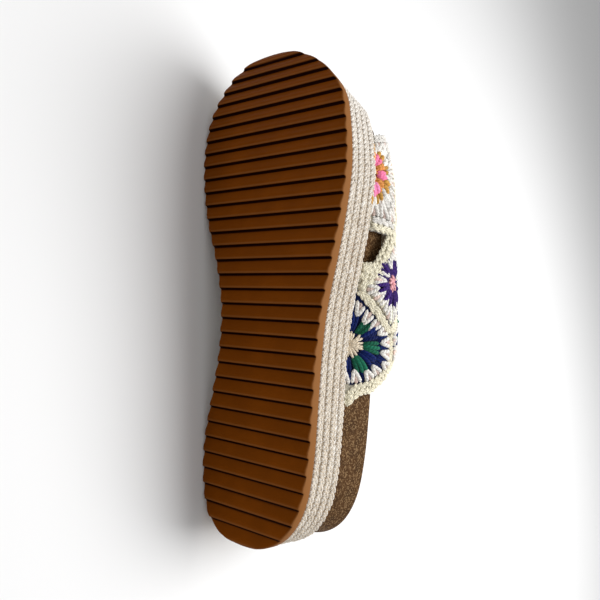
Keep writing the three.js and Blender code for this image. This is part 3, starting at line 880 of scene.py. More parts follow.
def cork_finish(look):
    """Ground cork: cells under a millimetre across, one in four of them pale, over slow darker clouds."""
    finish = Finish("ground_cork", 0.85, gloss=0.15)
    place = finish.place()
    grain, cell = finish.grains(place, scale=1700.0)
    picked = Number(finish, finish.node("ShaderNodeSeparateColor", None, {"Color": cell}).outputs["Red"])
    cloud = finish.noise(place, scale=220.0, detail=3.0)
    fine = finish.noise(place, scale=2600.0)
    body = finish.blend(cloud.step_between(0.4, 0.7, most=0.6), rgba(look.colour), rgba(look.dark))
    speckled = finish.blend(picked.step_between(0.6, 0.95, most=0.85), body, rgba(look.fleck))
    finish.colour(finish.blend(fine.step_between(0.45, 0.7, most=0.5), speckled, rgba(look.dark)))
    finish.relief(0.6 * grain + 0.4 * fine, depth=0.0004, strength=0.7)
    return finish.material


class SANDAL_OT_footbed(bpy.types.Operator):
    """Cork footbed: loops up its leaning side and over a rounded rim, with a dish between them"""

    bl_idname = "sandal.footbed"
    bl_label = "Footbed"

    def execute(self, context):
        at = stations(120)
        side = [bed_loop(at, part) for part in (0.0, *np.linspace(0.15, 0.85, 5))]
        side += [bed_loop(at, 1.0, drop, inwards) for drop, inwards in BED_ROUND]
        cloth = Cloth()
        cloth.add(np.stack(side), round_columns=True)
        cloth.add(rungs(side[-1][:, :2], eased(25), bed_height))
        cloth.add(rungs(side[0][:, :2], [0, 1], BED_BOTTOM), flip=True)
        finish = cork_finish(context.scene.sandal.cork)
        cloth.piece("cork_footbed", finish, ["footbed"], sharp=60)
        return {"FINISHED"}


def suede_finish(look):
    """Napped suede: fine fibres over broad patches brushed one way and the other."""
    finish = Finish("napped_suede", 0.95, sheen=0.15, gloss=0.2)
    nap = finish.noise(finish.place(), scale=1400.0, detail=3.0, rough=0.7)
    brushed = finish.noise(finish.place(), scale=70.0, detail=3.0)
    shade = finish.blend(brushed.step_between(0.3, 0.7), rgba(look.dark), rgba(look.colour))
    finish.colour(finish.blend(nap * 0.4, shade, rgba(look.dark)))
    finish.relief(nap, depth=0.0002)
    return finish.material


class SANDAL_OT_insole(bpy.types.Operator):
    """Suede liner over the whole dish of the footbed, with a rounded edge"""

    bl_idname = "sandal.insole"
    bl_label = "Insole"

    def execute(self, context):
        at = stations(120)
        side = [liner_loop(at, inwards, up) for inwards, up in LINER_EDGE]
        cloth = Cloth()
        cloth.add(np.stack(side), round_columns=True)
        for loop, lift, flip in ((side[-1], LINER_GAP + LINER, False), (side[0], LINER_GAP, True)):
            cloth.add(rungs(loop[:, :2], eased(25), lambda s, share: bed_height(s, share) + lift), flip=flip)
        finish = suede_finish(context.scene.sandal.suede)
        cloth.piece("suede_insole", finish, ["insole"], sharp=60)
        return {"FINISHED"}


def yarn_finish(name):
    """Plied cotton: two slanting plies, by a sine of the way along and round the yarn, with fine fibres; the
    colour is darker along the groove between the plies, as painted shade.
    """
    finish = Finish(name, 0.9, sheen=0.08, gloss=0.12)
    along, round_it = finish.along_and_round()
    ply = (along * 3.4 + round_it * (4 * np.pi)).sine() * 0.5 + 0.5
    twisted = finish.vector(along * 0.9 + round_it * 2.0, round_it * 11.0)
    fibre = finish.noise(twisted, scale=3.0, detail=3.0, rough=0.7)
    # Painted shade: the colour darkens between the plies; the fibres vary it at random
    shade = 0.68 + 0.24 * ply + 0.3 * fibre
    finish.colour(finish.blend(1.0, finish.tint(), finish.grey(shade), "MULTIPLY"))
    finish.relief(0.6 * ply + 0.5 * fibre, depth=0.0005, strength=0.8)
    return finish.material


def in_peep(s, share):
    """Whether a place of the upper lies in one of the peep holes behind the middle chain."""
    off = np.abs(share - MOTIF_SHARE * np.round(share / MOTIF_SHARE))
    t = (s - PEEP_REAR) / (PEEP_FRONT - PEEP_REAR)
    return (t > 0) & (t < 1) & (off < PEEP_REAR_SHARE + (PEEP_FRONT_SHARE - PEEP_REAR_SHARE) * t)


def joint_end(middle):
    """Share where the joint of two fans meets the rear edge; the outermost joints lean to the crown."""
    return middle + JOINT_LEAN * (float(middle < MOTIF_SHARE) - float(middle > 1 - MOTIF_SHARE))


# Places of the motifs over the foot, and of the joints between them
MOTIF_HALF = MOTIF_SHARE / 2
MOTIF_PLACES = np.linspace(0, 1, 5)
JOINT_PLACES = MOTIF_PLACES[:-1] + MOTIF_HALF
# Shares: room beside a joint, at the diamonds' sides and elbows, and the outermost squares' shift to the rope
JOINT_ROOM, SIDE_ROOM, ELBOW_ROOM, SQUARE_TUCK = 0.008, 0.024, 0.012, 0.022

# How a stitch lies, in millimetres above the wall's middle: its ends, and how much its middle rises from them
STAR_LIFT, STAR_RISE = 0.5, 0.6
ROUND_LIFT, ROUND_RISE = 0.3, 0.75
FIELD_LIFT, FIELD_RISE = 0.1, 0.4
LOOP_LIFT, HEART_LIFT = 1.15, 0.6
# Spread of the tone of stitches, which also lifts the paler ones
EVEN, MOTTLED, SPOTTED, MOTTLE_LIFT = 0.06, 0.15, 0.18, 1.2
# Share of its place that a cluster fills, millimetres between rim posts
CLUSTER_FAN, POST_SPACING = 0.86, 2.3
# Share by which stitches may pass a rope, and how near the rear edge they are left out, under its chains
PAST_ROPE, UNDER_CHAINS = 0.02, 0.6 * CHAIN_REAR

# Spread by chance: spikes, rim posts and loops in steps, posts in radians; lengths as shares; sway
SPIKE_STEP, RIM_STEP, LOOP_STEP, POST_TURN = 0.2, 0.15, 0.08, 0.02
SPIKE_LENGTH, POST_LENGTH, LOOP_LENGTH, SWAY = 0.1, 0.05, 0.1, 0.3
# Start and thickness of spikes; rim posts' shares of the way out; loops' deepest share; their inner stitch
SPIKE_START, SPIKE_YARN = 0.5, 0.72
FIELD_START, FIELD_END = 0.7, 0.97
LOOP_DEEPEST, HEART_SHARE, HEART_YARN = 0.6, 0.62, 1.05
# Fans: station of the tip, the star's longest reach and its share of the fan, the centre's share and shift
FAN_TIP, FAN_REACH, FAN_STAR, FAN_CENTRE, FAN_SHIFT = MOTIF_SIDE - 4, 7.2, 0.32, 0.4, 2.5
# Stations of the diamonds' centre, front tip and elbows; half width and shift of the squares
DIAMOND_CENTRE, DIAMOND_FRONT, DIAMOND_ELBOW = 3.5, MOTIF_FRONT - 6, MOTIF_ELBOW + 2
SQUARE_HALF, SQUARE_SHIFT = 0.84 * MOTIF_HALF, 1.2

# Points along a stitch, and how far it has risen there
STITCH = eased(9)
ARCH = np.sin(np.pi * STITCH)
LOOP_POINTS = 13


class Star(NamedTuple):
    """Spikes from a motif's centre"""

    colour: tuple
    spikes: int
    reach: float


class Round(NamedTuple):
    """Clusters of posts between two distances from the centre, in colours that take turns"""

    colours: list
    clusters: int
    posts: int
    start: float
    end: float
    plump: float


class Field(NamedTuple):
    """Posts from a distance from the centre out to the rim"""

    colour: tuple
    start: float


class Loops(NamedTuple):
    """Pointed loops on the rim: distance between them, their depth and half their width"""

    spacing: float
    depth: float
    half: float


class Motif:
    """A crochet motif: its centre, the outline of its last round, and its star, rounds, field and loops.

    stretch makes the star and the rounds longer along the foot than across it.
    """

    def __init__(self, s, share, outline, star, rounds, field, loops, stretch=1.0):
        self.s, self.share, self.stretch = s, share, np.array([1.0, stretch])
        self.star, self.rounds, self.field, self.loops = star, rounds, field, loops
        corners = np.array([[(b - share) * girth(a), a - s] for a, b in outline])
        self.outline = np.concatenate([corners, corners[:1]])
        self.run = run_along(self.outline)
        self.length = self.run[-1]

    def rim(self, t):
        """Point of the outline at t, from 0 to 1 of the way round, in millimetres from the centre."""
        at = np.asarray(t) % 1 * self.length
        return np.stack([np.interp(at, self.run, self.outline[:, axis]) for axis in (0, 1)], -1)

    def place(self, local):
        """Local millimetres to station and share."""
        s = self.s + local[..., 1]
        return s, self.share + local[..., 0] / girth(s)


def add_stitches(cloth, motif, local, lift, radius, tint, chance, mottle=EVEN):
    """Yarn along many short paths on the upper, given as millimetres from the motif's centre."""
    s, share = motif.place(local)
    middle = local.shape[1] // 2
    middle_s, middle_share = s[:, middle], share[:, middle]
    shown = (middle_share > -PAST_ROPE) & (middle_share < 1 + PAST_ROPE)
    shown &= middle_s > rear_edge(np.clip(middle_share, 0, 1)) + UNDER_CHAINS
    shown &= ~in_peep(middle_s, middle_share)
    if not shown.any():
        return
    s, share = s[shown], share[shown]
    uneven = mottle * chance.standard_normal((len(s), 1))
    paths, outs = on_upper(s, share, lift + MOTTLE_LIFT * uneven)
    tint = np.broadcast_to(tint, (len(local), 3))[shown] * np.exp(uneven)
    skin = tubes(paths, outs, radius)
    cloth.add(skin, np.clip(tint, 0, 1), u=run_along(paths), round_columns=True)


def spokes(angle, start, end, chance):
    """Paths from one distance from the centre to another, each swaying a little to one side."""
    radial = np.stack([np.cos(angle), np.sin(angle)], -1)
    sideways = np.stack([-radial[:, 1], radial[:, 0]], -1)
    reach = np.broadcast_to(start, angle.shape)[:, None] + (end - start)[:, None] * STITCH
    sway = SWAY * chance.standard_normal((len(angle), 1)) * ARCH
    return radial[:, None] * reach[..., None] + sideways[:, None] * sway[..., None]


def add_star(cloth, motif, yarn, chance):
    """Spikes from the centre, uneven in angle and in length."""
    colour, spikes, reach = motif.star
    angle = 2 * np.pi * (np.arange(spikes) + SPIKE_STEP * chance.standard_normal(spikes)) / spikes
    ends = reach * (1 + SPIKE_LENGTH * chance.standard_normal(spikes))
    paths = spokes(angle, SPIKE_START, ends, chance) * motif.stretch
    radius = SPIKE_YARN * yarn * rounded(STITCH, fullness=2.5)
    add_stitches(cloth, motif, paths, STAR_LIFT + STAR_RISE * ARCH, radius, colour, chance)


def add_rounds(cloth, motif, yarn, chance):
    """Clusters of posts that stand side by side at even angles, round by round."""
    for colours, clusters, posts, start, end, plump in motif.rounds:
        fan = (np.arange(posts) - (posts - 1) / 2) * CLUSTER_FAN / posts
        angle = 2 * np.pi * (np.arange(clusters)[:, None] + fan).ravel() / clusters
        angle = angle + POST_TURN * chance.standard_normal(len(angle))
        tint = np.array(colours)[np.repeat(np.arange(clusters) % len(colours), posts)]
        ends = end * (1 + POST_LENGTH * chance.standard_normal(len(angle)))
        paths = spokes(angle, start, ends, chance) * motif.stretch
        radius = plump * yarn * rounded(STITCH, fullness=4)
        add_stitches(cloth, motif, paths, ROUND_LIFT + ROUND_RISE * ARCH, radius, tint, chance, SPOTTED)


def add_field(cloth, motif, yarn, chance):
    """Posts out to the rim, at even distances along it and in line with the centre."""
    colour, start = motif.field
    posts = int(motif.length / POST_SPACING)
    rim = motif.rim((np.arange(posts) + RIM_STEP * chance.standard_normal(posts)) / posts)
    far = np.linalg.norm(rim, axis=-1)
    angle = np.arctan2(rim[:, 1], rim[:, 0])
    paths = spokes(angle, np.minimum(start, FIELD_START * far), FIELD_END * far, chance)
    radius = yarn * rounded(STITCH, fullness=5)
    add_stitches(cloth, motif, paths, FIELD_LIFT + FIELD_RISE * ARCH, radius, colour, chance, MOTTLED)


def add_loops(cloth, motif, yarn, look, chance):
    """White loops with both feet on the rim and a point towards the centre, each round one beige stitch.

    From its point to a foot, a loop moves outwards with the power 1.2 of the way, and sideways with the 0.9.
    """
    spacing, deepest, half = motif.loops
    count = int(round(motif.length / spacing))
    at = (np.arange(count) + 0.5 + LOOP_STEP * chance.standard_normal(count)) / count
    foot = motif.rim(at)
    far = np.linalg.norm(foot, axis=-1, keepdims=True)
    depth = np.minimum(deepest, LOOP_DEEPEST * far) * (1 + LOOP_LENGTH * chance.standard_normal((count, 1)))
    inwards = (-foot / far * depth)[:, None]
    near = 0.3 / count
    beside = half * normalised(motif.rim(at + near) - motif.rim(at - near))[:, None]
    way = np.linspace(-1, 1, LOOP_POINTS)[:, None]
    limb = inwards * (1 - np.abs(way) ** 1.2) + beside * np.sign(way) * np.abs(way) ** 0.9
    lift = np.full(LOOP_POINTS, LOOP_LIFT)
    radius = yarn * rounded(np.linspace(0, 1, LOOP_POINTS), fullness=16)
    add_stitches(cloth, motif, foot[:, None] + limb, lift, radius, look.white, chance)
    heart = foot[:, None] + inwards * (HEART_SHARE * STITCH[:, None])
    lift = np.full(len(STITCH), HEART_LIFT)
    radius = HEART_YARN * yarn * rounded(STITCH, fullness=5)
    add_stitches(cloth, motif, heart, lift, radius, look.beige, chance, MOTTLED)


def crochet(cloth, motif, look, chance):
    """One motif, from the star at its centre to the pointed loops on its rim."""
    yarn = look.radius * MM
    add_star(cloth, motif, yarn, chance)
    add_rounds(cloth, motif, yarn, chance)
    add_field(cloth, motif, yarn, chance)
    add_loops(cloth, motif, yarn, look, chance)


def fan_motif(share, look):
    """Blue motif of the rear band: a fan between two joints, from the rear edge to a tip between diamonds."""
    ends = joint_end(share - MOTIF_HALF) + JOINT_ROOM, joint_end(share + MOTIF_HALF) - JOINT_ROOM
    shares = np.array([ends[0], share - MOTIF_HALF / 2, share, share + MOTIF_HALF / 2, ends[1]])
    back = rear_edge(np.clip(shares, 0, 1)) + CHAIN_REAR
    sides = np.maximum(MOTIF_REAR - 1, back[[0, -1]] + 2)
    wide = MOTIF_HALF - JOINT_ROOM
    outline = [*zip(back, shares), (sides[1], share + wide), (FAN_TIP, share), (sides[0], share - wide)]
    length = FAN_TIP - back[2]
    centre = back[2] + FAN_CENTRE * length + FAN_SHIFT
    reach = min(FAN_REACH, FAN_STAR * length)
    star = Star(look.shell, spikes=22, reach=reach)
    rounds = [Round([look.green, look.blue], 12, posts=3, start=0.85 * reach, end=2.2 * reach, plump=1.15)]
    field = Field(look.blue, start=1.9 * reach)
    loops = Loops(spacing=6.6, depth=6.2, half=2.2)
    return Motif(centre, share, outline, star, rounds, field, loops)


def diamond_motif(share, look):
    """Purple motif of the rear band: a diamond behind the middle chain, with an elbow on either side."""
    back = max(MOTIF_REAR, rear_edge(share) + CHAIN_REAR - 3) + 4
    wide, elbow = MOTIF_HALF - SIDE_ROOM, MOTIF_HALF - ELBOW_SHARE - ELBOW_ROOM
    outline = [
        (back, share), (MOTIF_SIDE, share + wide), (DIAMOND_ELBOW, share + elbow),
        (DIAMOND_FRONT, share), (DIAMOND_ELBOW, share - elbow), (MOTIF_SIDE, share - wide),
    ]
    star = Star(look.blush, spikes=12, reach=4.2)
    rounds = [Round([look.purple], 10, posts=3, start=3.2, end=12.5, plump=1.15)]
    field = Field(look.cream, start=11.5)
    loops = Loops(spacing=7.0, depth=7.0, half=2.2)
    return Motif(DIAMOND_CENTRE, share, outline, star, rounds, field, loops, stretch=1.2)


def square_motif(share, look):
    """Pink and orange motif of the front band: a square from the middle chain to the front edge."""
    sides = share + np.array([-SQUARE_HALF, 0, SQUARE_HALF])
    ends = front_edge(np.clip(sides, 0, 1)) - CHAIN_FRONT
    back = CHAIN_MIDDLE + CHAIN_WIDTH / 2
    outline = [(back, sides[0]), (back, sides[2]), *zip(ends[::-1], sides[::-1])]
    tucked = SQUARE_TUCK * (np.sign(share - 0.5) if share in (0, 1) else 0)
    centre = (back + ends[1]) / 2 + SQUARE_SHIFT
    star = Star(look.orange, spikes=14, reach=5.0)
    rounds = [
        Round([look.white, look.gold, look.gold], 30, posts=1, start=7.4, end=12.4, plump=1.35),
        Round([look.pink, look.orange], 12, posts=3, start=4.0, end=9.6, plump=1.3),
    ]
    field = Field(look.white, start=11.5)
    loops = Loops(spacing=6.9, depth=7.4, half=2.4)
    return Motif(centre, share + tucked, outline, star, rounds, field, loops, stretch=1.45)


def upper_motifs(look):
    """Motifs of the rear band, its fans and then its diamonds, and the squares of the front band."""
    fans = [fan_motif(share, look) for share in MOTIF_PLACES]
    diamonds = [diamond_motif(share, look) for share in JOINT_PLACES]
    squares = [square_motif(share, look) for share in MOTIF_PLACES]
    return fans + diamonds, squares


class SANDAL_OT_motifs(bpy.types.Operator):
    """Crochet stitches of the upper's motifs, as short lengths of yarn on the wall's own surface"""

    bl_idname = "sandal.motifs"
    bl_label = "Motifs"

    def execute(self, context):
        look = context.scene.sandal.yarn
        chance = np.random.default_rng(5)
        finish = yarn_finish("crochet_yarn")
        for name, motifs in zip(("rear_motifs", "front_motifs"), upper_motifs(look)):
            cloth = Cloth()
            for motif in motifs:
                crochet(cloth, motif, look, chance)
            cloth.piece(name, finish)
        return {"FINISHED"}


# Ground behind the stitches: cells along and over the foot, gap to the free edges, wall, UV of a cell, and
# the factor by which its colour is darkened as painted shade in the gaps between stitches
GROUND_ROWS, GROUND_COLUMNS = 190, 220
GROUND_EDGE, GROUND_WALL, GROUND_CELL, GROUND_SHADE = 0.8, 0.9, 0.8, 0.6


def cell_centres(grid):
    """Mean of the four corners of each cell of a grid."""
    return (grid[1:, 1:] + grid[1:, :-1] + grid[:-1, 1:] + grid[:-1, :-1]) / 4


def ground_tint(s, share, look):
    """Colour behind the stitches: cream under chains, else the nearest motif's first round or its field,
    darkened as painted shade in the gaps between stitches.

    Nearest is the motif with the least distance from its centre over the length of its outline.
    """
    motifs = sum(upper_motifs(look), [])
    around = girth(s)
    away = np.stack([np.hypot((share - motif.share) * around, s - motif.s) for motif in motifs])
    nearest = (away / np.array([motif.length for motif in motifs])[:, None, None]).argmin(0)
    reach = np.array([motif.rounds[0].end for motif in motifs])[nearest]
    inside = np.take_along_axis(away, nearest[None], 0)[0] < reach
    heart = np.array([motif.rounds[0].colours[-1] for motif in motifs])[nearest]
    field = np.array([motif.field.colour for motif in motifs])[nearest]
    chained = (s < rear_edge(share) + CHAIN_REAR) | (s > front_edge(share) - CHAIN_FRONT)
    chained |= np.abs(s - CHAIN_MIDDLE) < CHAIN_WIDTH / 2
    tint = np.where(chained[..., None], look.cream, np.where(inside[..., None], heart, field))
    # Painted shade: the ground is darkened where it shows between the stitches
    return tint * GROUND_SHADE


class SANDAL_OT_ground(bpy.types.Operator):
    """Ground behind the stitches: a thin wall on the upper's surface with the peep holes open"""

    bl_idname = "sandal.ground"
    bl_label = "Ground"

    def execute(self, context):
        look = context.scene.sandal.yarn
        corners = (GROUND_ROWS + 1, GROUND_COLUMNS + 1)
        share = np.broadcast_to(np.linspace(0, 1, corners[1]), corners)
        rear, front = rear_edge(share) + GROUND_EDGE, front_edge(share) - GROUND_EDGE
        s = rear + (front - rear) * np.linspace(0, 1, corners[0])[:, None]
        points, _ = on_upper(s, share, np.zeros_like(s))
        keep = ~in_peep(cell_centres(s), cell_centres(share))
        u, v = (np.arange(count) * GROUND_CELL for count in corners)
        cloth = Cloth()
        cloth.add(points, ground_tint(s, share, look)[None], u=u, v=v, keep=keep)
        finish = yarn_finish("crochet_ground")
        ground = cloth.piece("crochet_ground", finish, ["upper"])
        wall = ground.modifiers.new("thickness", "SOLIDIFY")
        wall.thickness = GROUND_WALL / MM
        wall.offset = 0.0
        return {"FINISHED"}


class Chain(NamedTuple):
    """A plaited chain: width, pitch of the plait, height above the wall's middle, distance from its edge"""

    width: float
    pitch: float
    lift: float
    away: float = 0.0


# Chains along the free edges and beside them, between the bands, round the motifs and round the peep holes
REAR_EDGING, REAR_BESIDE = Chain(4.2, 9.5, 0.35, away=1.9), Chain(3.6, 8.5, 0.35, away=5.3)
FRONT_EDGING, FRONT_BESIDE = Chain(3.4, 8.5, 0.35, away=1.5), Chain(3.2, 8.0, 0.35, away=4.2)
BAND_REAR, BAND_FRONT = Chain(4.6, 13.0, 0.35, away=1.7), Chain(4.3, 12.0, 0.35, away=1.9)
MOTIF_CHAIN, JOINT_CHAIN = Chain(5.2, 11.5, 0.45), Chain(4.6, 9.0, 0.35)
PEEP_CHAIN, FILL_CHAIN = Chain(2.8, 7.5, 0.3), Chain(4.4, 9.0, 0.3)
# Chains that fill the corner behind a peep hole: station where one starts, share over which it spreads
PEEP_FILLS = [(2.6, 0.05), (6.4, 0.034)]
# Stations where the chains beside a peep hole start and where its fills end; shortest joint with a chain
PEEP_START, FILL_END, JOINT_LEAST = PEEP_REAR - 1.2, PEEP_REAR - 0.5, 3
# Shares of a chain's end and of a diamond's corner from a rope; tuck of the rear chains there, and its share
CHAIN_END, CORNER_END, CHAIN_TUCK, TUCK_SHARE = 0.004, 0.006, 7.5, 0.032
# Scallops of the edging: how far they reach and how many there are
SCALLOP, SCALLOPS = 0.55, 20
# Yarn of a chain: radius as a share of the width, a pair's distance in radii, depth of the plait
CHAIN_YARN, CHAIN_PAIR, CHAIN_DEPTH = 0.145, 0.72, 0.6
# Plait of a chain: points in a pitch, sway of the pitch and its length, spread of radius and tone, UV scale
PITCH_POINTS, PITCH_SWAY, SWAY_LENGTH = 10, 0.12, 23
RADIUS_SPREAD, TONE_SPREAD, PLY_SCALE = 0.08, 0.07, 1.2
# Parts of the way at which the chains round a diamond and round a peep hole bend
DIAMOND_BENDS, PEEP_BENDS = (0, 0.4, 1), (0, 0.25, 1)


def add_chain(cloth, s, share, chain, tint, chance):
    """Chain of plaited yarn along a line of stations and shares, a little uneven in pitch and thickness."""
    width, pitch, lift = chain.width, chain.pitch, chain.lift
    rough, _ = on_upper(s, share, np.full(s.shape, lift))
    run = run_along(rough)
    count = max(int(run[-1] / pitch * PITCH_POINTS), 8)
    at = np.linspace(0, run[-1], count)
    centre, outs = on_upper(np.interp(at, run, s), np.interp(at, run, share), np.full(count, lift))
    along = normalised(np.gradient(centre, axis=0))
    yarn = CHAIN_YARN * width
    spread = np.array([-CHAIN_PAIR, CHAIN_PAIR]) * yarn
    swing = width / 2 - (1 + CHAIN_PAIR) * yarn
    wave = PITCH_SWAY * pitch * np.sin(2 * np.pi * at / SWAY_LENGTH + chance.uniform(0, 6))
    uneven = at + wave + chance.uniform(0, pitch)
    yarns = plait(centre, np.cross(outs, along), outs, uneven, pitch, swing, CHAIN_DEPTH, spread)
    thickness = yarn * (1 + RADIUS_SPREAD * chance.standard_normal((len(yarns), 1)))
    radius = thickness * rounded(np.linspace(0, 1, count), fullness=60)
    skin = tubes(yarns, np.broadcast_to(outs, yarns.shape), radius, sides=5)
    tone = np.array(tint) * (1 + TONE_SPREAD * chance.standard_normal((len(yarns), 1)))
    cloth.add(skin, np.clip(tone, 0, 1), u=at * PLY_SCALE, round_columns=True)


def route(*points, bends=(0, 1)):
    """Line over the upper through stations and shares, straight between them, each at its part of the way."""
    t = np.linspace(0, 1, 40)
    s, share = zip(*points)
    return np.interp(t, bends, s), np.interp(t, bends, share)


def edge_chains(look):
    """Chains along the free edges, scalloped and tucked in at the ropes, and the pair between the bands."""
    share = np.linspace(CHAIN_END, 1 - CHAIN_END, 400)
    rear, front, middle = rear_edge(share), front_edge(share), np.full_like(share, CHAIN_MIDDLE)
    tuck = CHAIN_TUCK * np.clip(1 - np.minimum(share, 1 - share) / TUCK_SHARE, 0, 1) ** 1.5
    scallop = SCALLOP * np.cos(2 * np.pi * share * SCALLOPS)
    return [
        (rear + REAR_EDGING.away + scallop - tuck, share, REAR_EDGING, look.cream),
        (rear + REAR_BESIDE.away - tuck, share, REAR_BESIDE, look.cream),
        (middle - BAND_REAR.away, share, BAND_REAR, look.cream),
        (middle + BAND_FRONT.away, share, BAND_FRONT, look.white),
        (front - FRONT_EDGING.away + 0.5 * scallop, share, FRONT_EDGING, look.white),
        (front - FRONT_BESIDE.away, share, FRONT_BESIDE, look.white),
    ]


def motif_chains(look):
    """Chains round the diamonds, between the fans and between the squares."""
    chains = []
    for middle in JOINT_PLACES:
        behind = rear_edge(middle) + CHAIN_REAR
        rear = max(MOTIF_REAR, behind - 2)
        for side in (-1, 1):
            corner = (MOTIF_SIDE, np.clip(middle + side * MOTIF_HALF, CORNER_END, 1 - CORNER_END))
            elbow = (MOTIF_ELBOW, middle + side * (MOTIF_HALF - ELBOW_SHARE))
            chains.append((*route(corner, (rear, middle)), MOTIF_CHAIN))
            chains.append((*route(corner, elbow, (MOTIF_FRONT, middle), bends=DIAMOND_BENDS), MOTIF_CHAIN))
        if rear - behind > JOINT_LEAST:
            chains.append((*route((behind, joint_end(middle)), (rear, middle)), JOINT_CHAIN))
        front = front_edge(middle) - CHAIN_FRONT
        chains.append((*route((CHAIN_MIDDLE, middle), (front, middle)), MOTIF_CHAIN))
    return [(*chain, look.cream) for chain in chains]


def peep_chains(look):
    """Chains along both sides of each peep hole, and two that fill the corner behind it."""
    chains = []
    for middle in MOTIF_PLACES:
        for side in (-1, 1):
            ends = [middle + side * share for share in (0, PEEP_REAR_SHARE, PEEP_FRONT_SHARE)]
            if not 0 <= ends[-1] <= 1:
                continue
            places = zip((PEEP_START, PEEP_REAR, PEEP_FRONT), ends)
            chains.append((*route(*places, bends=PEEP_BENDS), PEEP_CHAIN))
            for start, reach in PEEP_FILLS:
                s, share = route((start, middle), (FILL_END, middle + side * reach))
                chains.append((s, np.clip(share, CHAIN_END, 1 - CHAIN_END), FILL_CHAIN))
    return [(*chain, look.cream) for chain in chains]


class SANDAL_OT_chains(bpy.types.Operator):
    """Chains along the free edges, between the bands, between the motifs and round the peep holes"""

    bl_idname = "sandal.chains"
    bl_label = "Chains"

    def execute(self, context):
        look = context.scene.sandal.yarn
        chance = np.random.default_rng(8)
        cloth = Cloth()
        for line in edge_chains(look) + motif_chains(look) + peep_chains(look):
            add_chain(cloth, *line, chance)
        cloth.piece("chain_edging", yarn_finish("chain_yarn"))
        return {"FINISHED"}


# Stage, in metres: half the floor, the lamps' places and sizes, and the point that they face
FLOOR_REACH = 6.0
KEY_PLACE, KEY_SIZE = (0.05, 0.35, 0.75), 0.7
FILL_PLACE, FILL_SIZE = (-0.35, -0.7, 0.45), 0.6
LAMP_TARGET = Vector((0, 0, 0.04))
# Camera, fitted to the tread's grooves and outline: place, direction of view, and upright of the picture
CAMERA_PLACE = (0.078390, -0.276588, 0.236424)
CAMERA_FORWARD = Vector((-0.21255095, 0.78000664, -0.58856753))
CAMERA_UP = Vector((-0.9767034, -0.15138223, 0.15209826))
SENSOR_WIDTH, CLIP_START = 36.0, 0.01


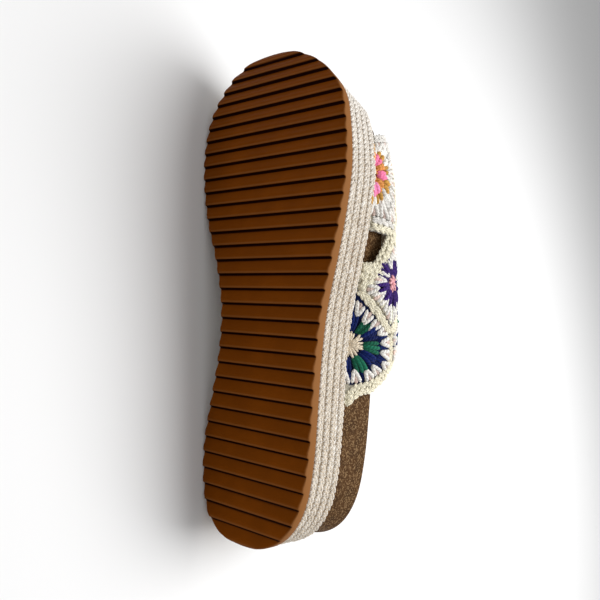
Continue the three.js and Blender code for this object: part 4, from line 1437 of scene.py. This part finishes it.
class SANDAL_OT_stage(bpy.types.Operator):
    """Pale floor, soft studio light and a camera at the photograph's angle to the shoe"""

    bl_idname = "sandal.stage"
    bl_label = "Stage"

    def execute(self, context):
        look = context.scene.sandal.stage
        self.lay_floor(context, look)
        world = bpy.data.worlds.new("studio")
        world.use_nodes = True
        sky = world.node_tree.nodes["Background"]
        sky.inputs["Color"].default_value = (1.0, 1.0, 1.0, 1.0)
        sky.inputs["Strength"].default_value = look.sky
        context.scene.world = world
        self.hang_lamp(context, "key", KEY_PLACE, KEY_SIZE, look.key)
        self.hang_lamp(context, "fill", FILL_PLACE, FILL_SIZE, look.fill)
        self.set_camera(context, look)
        context.scene.view_settings.view_transform = "Standard"
        return {"FINISHED"}

    def lay_floor(self, context, look):
        """Flat square on the floor's plane."""
        mesh = bpy.data.meshes.new("floor")
        turns = ((-1, -1), (1, -1), (1, 1), (-1, 1))
        mesh.from_pydata([(x * FLOOR_REACH, y * FLOOR_REACH, 0) for x, y in turns], [], [(0, 1, 2, 3)])
        floor = bpy.data.objects.new("floor", mesh)
        context.scene.collection.objects.link(floor)
        finish = Finish("pale_floor", 0.7)
        finish.colour(rgba(look.floor))
        mesh.materials.append(finish.material)

    def hang_lamp(self, context, name, place, size, power):
        """Square lamp that faces the sandal."""
        data = bpy.data.lights.new(name, "AREA")
        data.size = size
        data.energy = power
        lamp = bpy.data.objects.new(name, data)
        aim = LAMP_TARGET - Vector(place)
        lamp.location = place
        lamp.rotation_euler = aim.to_track_quat("-Z", "Y").to_euler()
        context.scene.collection.objects.link(lamp)

    def set_camera(self, context, look):
        """Camera with its right, up and backward directions as the columns of its rotation."""
        data = bpy.data.cameras.new("camera")
        data.lens = look.lens
        data.sensor_width = SENSOR_WIDTH
        data.clip_start = CLIP_START
        camera = bpy.data.objects.new("camera", data)
        right = CAMERA_FORWARD.cross(CAMERA_UP).normalized()
        turn = Matrix((right, right.cross(CAMERA_FORWARD), -CAMERA_FORWARD)).transposed()
        camera.matrix_world = Matrix.Translation(CAMERA_PLACE) @ turn.to_4x4()
        context.scene.collection.objects.link(camera)
        context.scene.camera = camera


class SANDAL_PT_pieces(bpy.types.Panel):
    """Lists the sandal's pieces and looks"""

    bl_idname = "SANDAL_PT_pieces"
    bl_label = "Platform sandal"
    bl_space_type = "VIEW_3D"
    bl_region_type = "UI"
    bl_category = "Sandal"

    def draw(self, context):
        for operator in OPERATORS:
            self.layout.operator(operator.bl_idname)
        for group in SandalLook.__annotations__:
            box = self.layout.box()
            settings = getattr(context.scene.sandal, group)
            for name in settings.__annotations__:
                box.prop(settings, name)


GROUPS = (RubberLook, FoamLook, RopeLook, CorkLook, SuedeLook, YarnLook, StageLook, SandalLook)
OPERATORS = (
    SANDAL_OT_outsole,
    SANDAL_OT_platform,
    SANDAL_OT_rope,
    SANDAL_OT_footbed,
    SANDAL_OT_insole,
    SANDAL_OT_ground,
    SANDAL_OT_motifs,
    SANDAL_OT_chains,
    SANDAL_OT_stage,
)
CLASSES = (*GROUPS, *OPERATORS, SANDAL_PT_pieces)


def register():
    """Registers the classes and gives the scene its settings."""
    for made in CLASSES:
        bpy.utils.register_class(made)
    bpy.types.Scene.sandal = PointerProperty(type=SandalLook)


def unregister():
    """Takes the settings and the classes away again."""
    del bpy.types.Scene.sandal
    for made in reversed(CLASSES):
        bpy.utils.unregister_class(made)


def main():
    """Makes every piece and the stage."""
    register()
    bpy.ops.sandal.outsole()
    bpy.ops.sandal.platform()
    bpy.ops.sandal.rope()
    bpy.ops.sandal.footbed()
    bpy.ops.sandal.insole()
    bpy.ops.sandal.ground()
    bpy.ops.sandal.motifs()
    bpy.ops.sandal.chains()
    bpy.ops.sandal.stage()


if __name__ == "__main__":
    main()
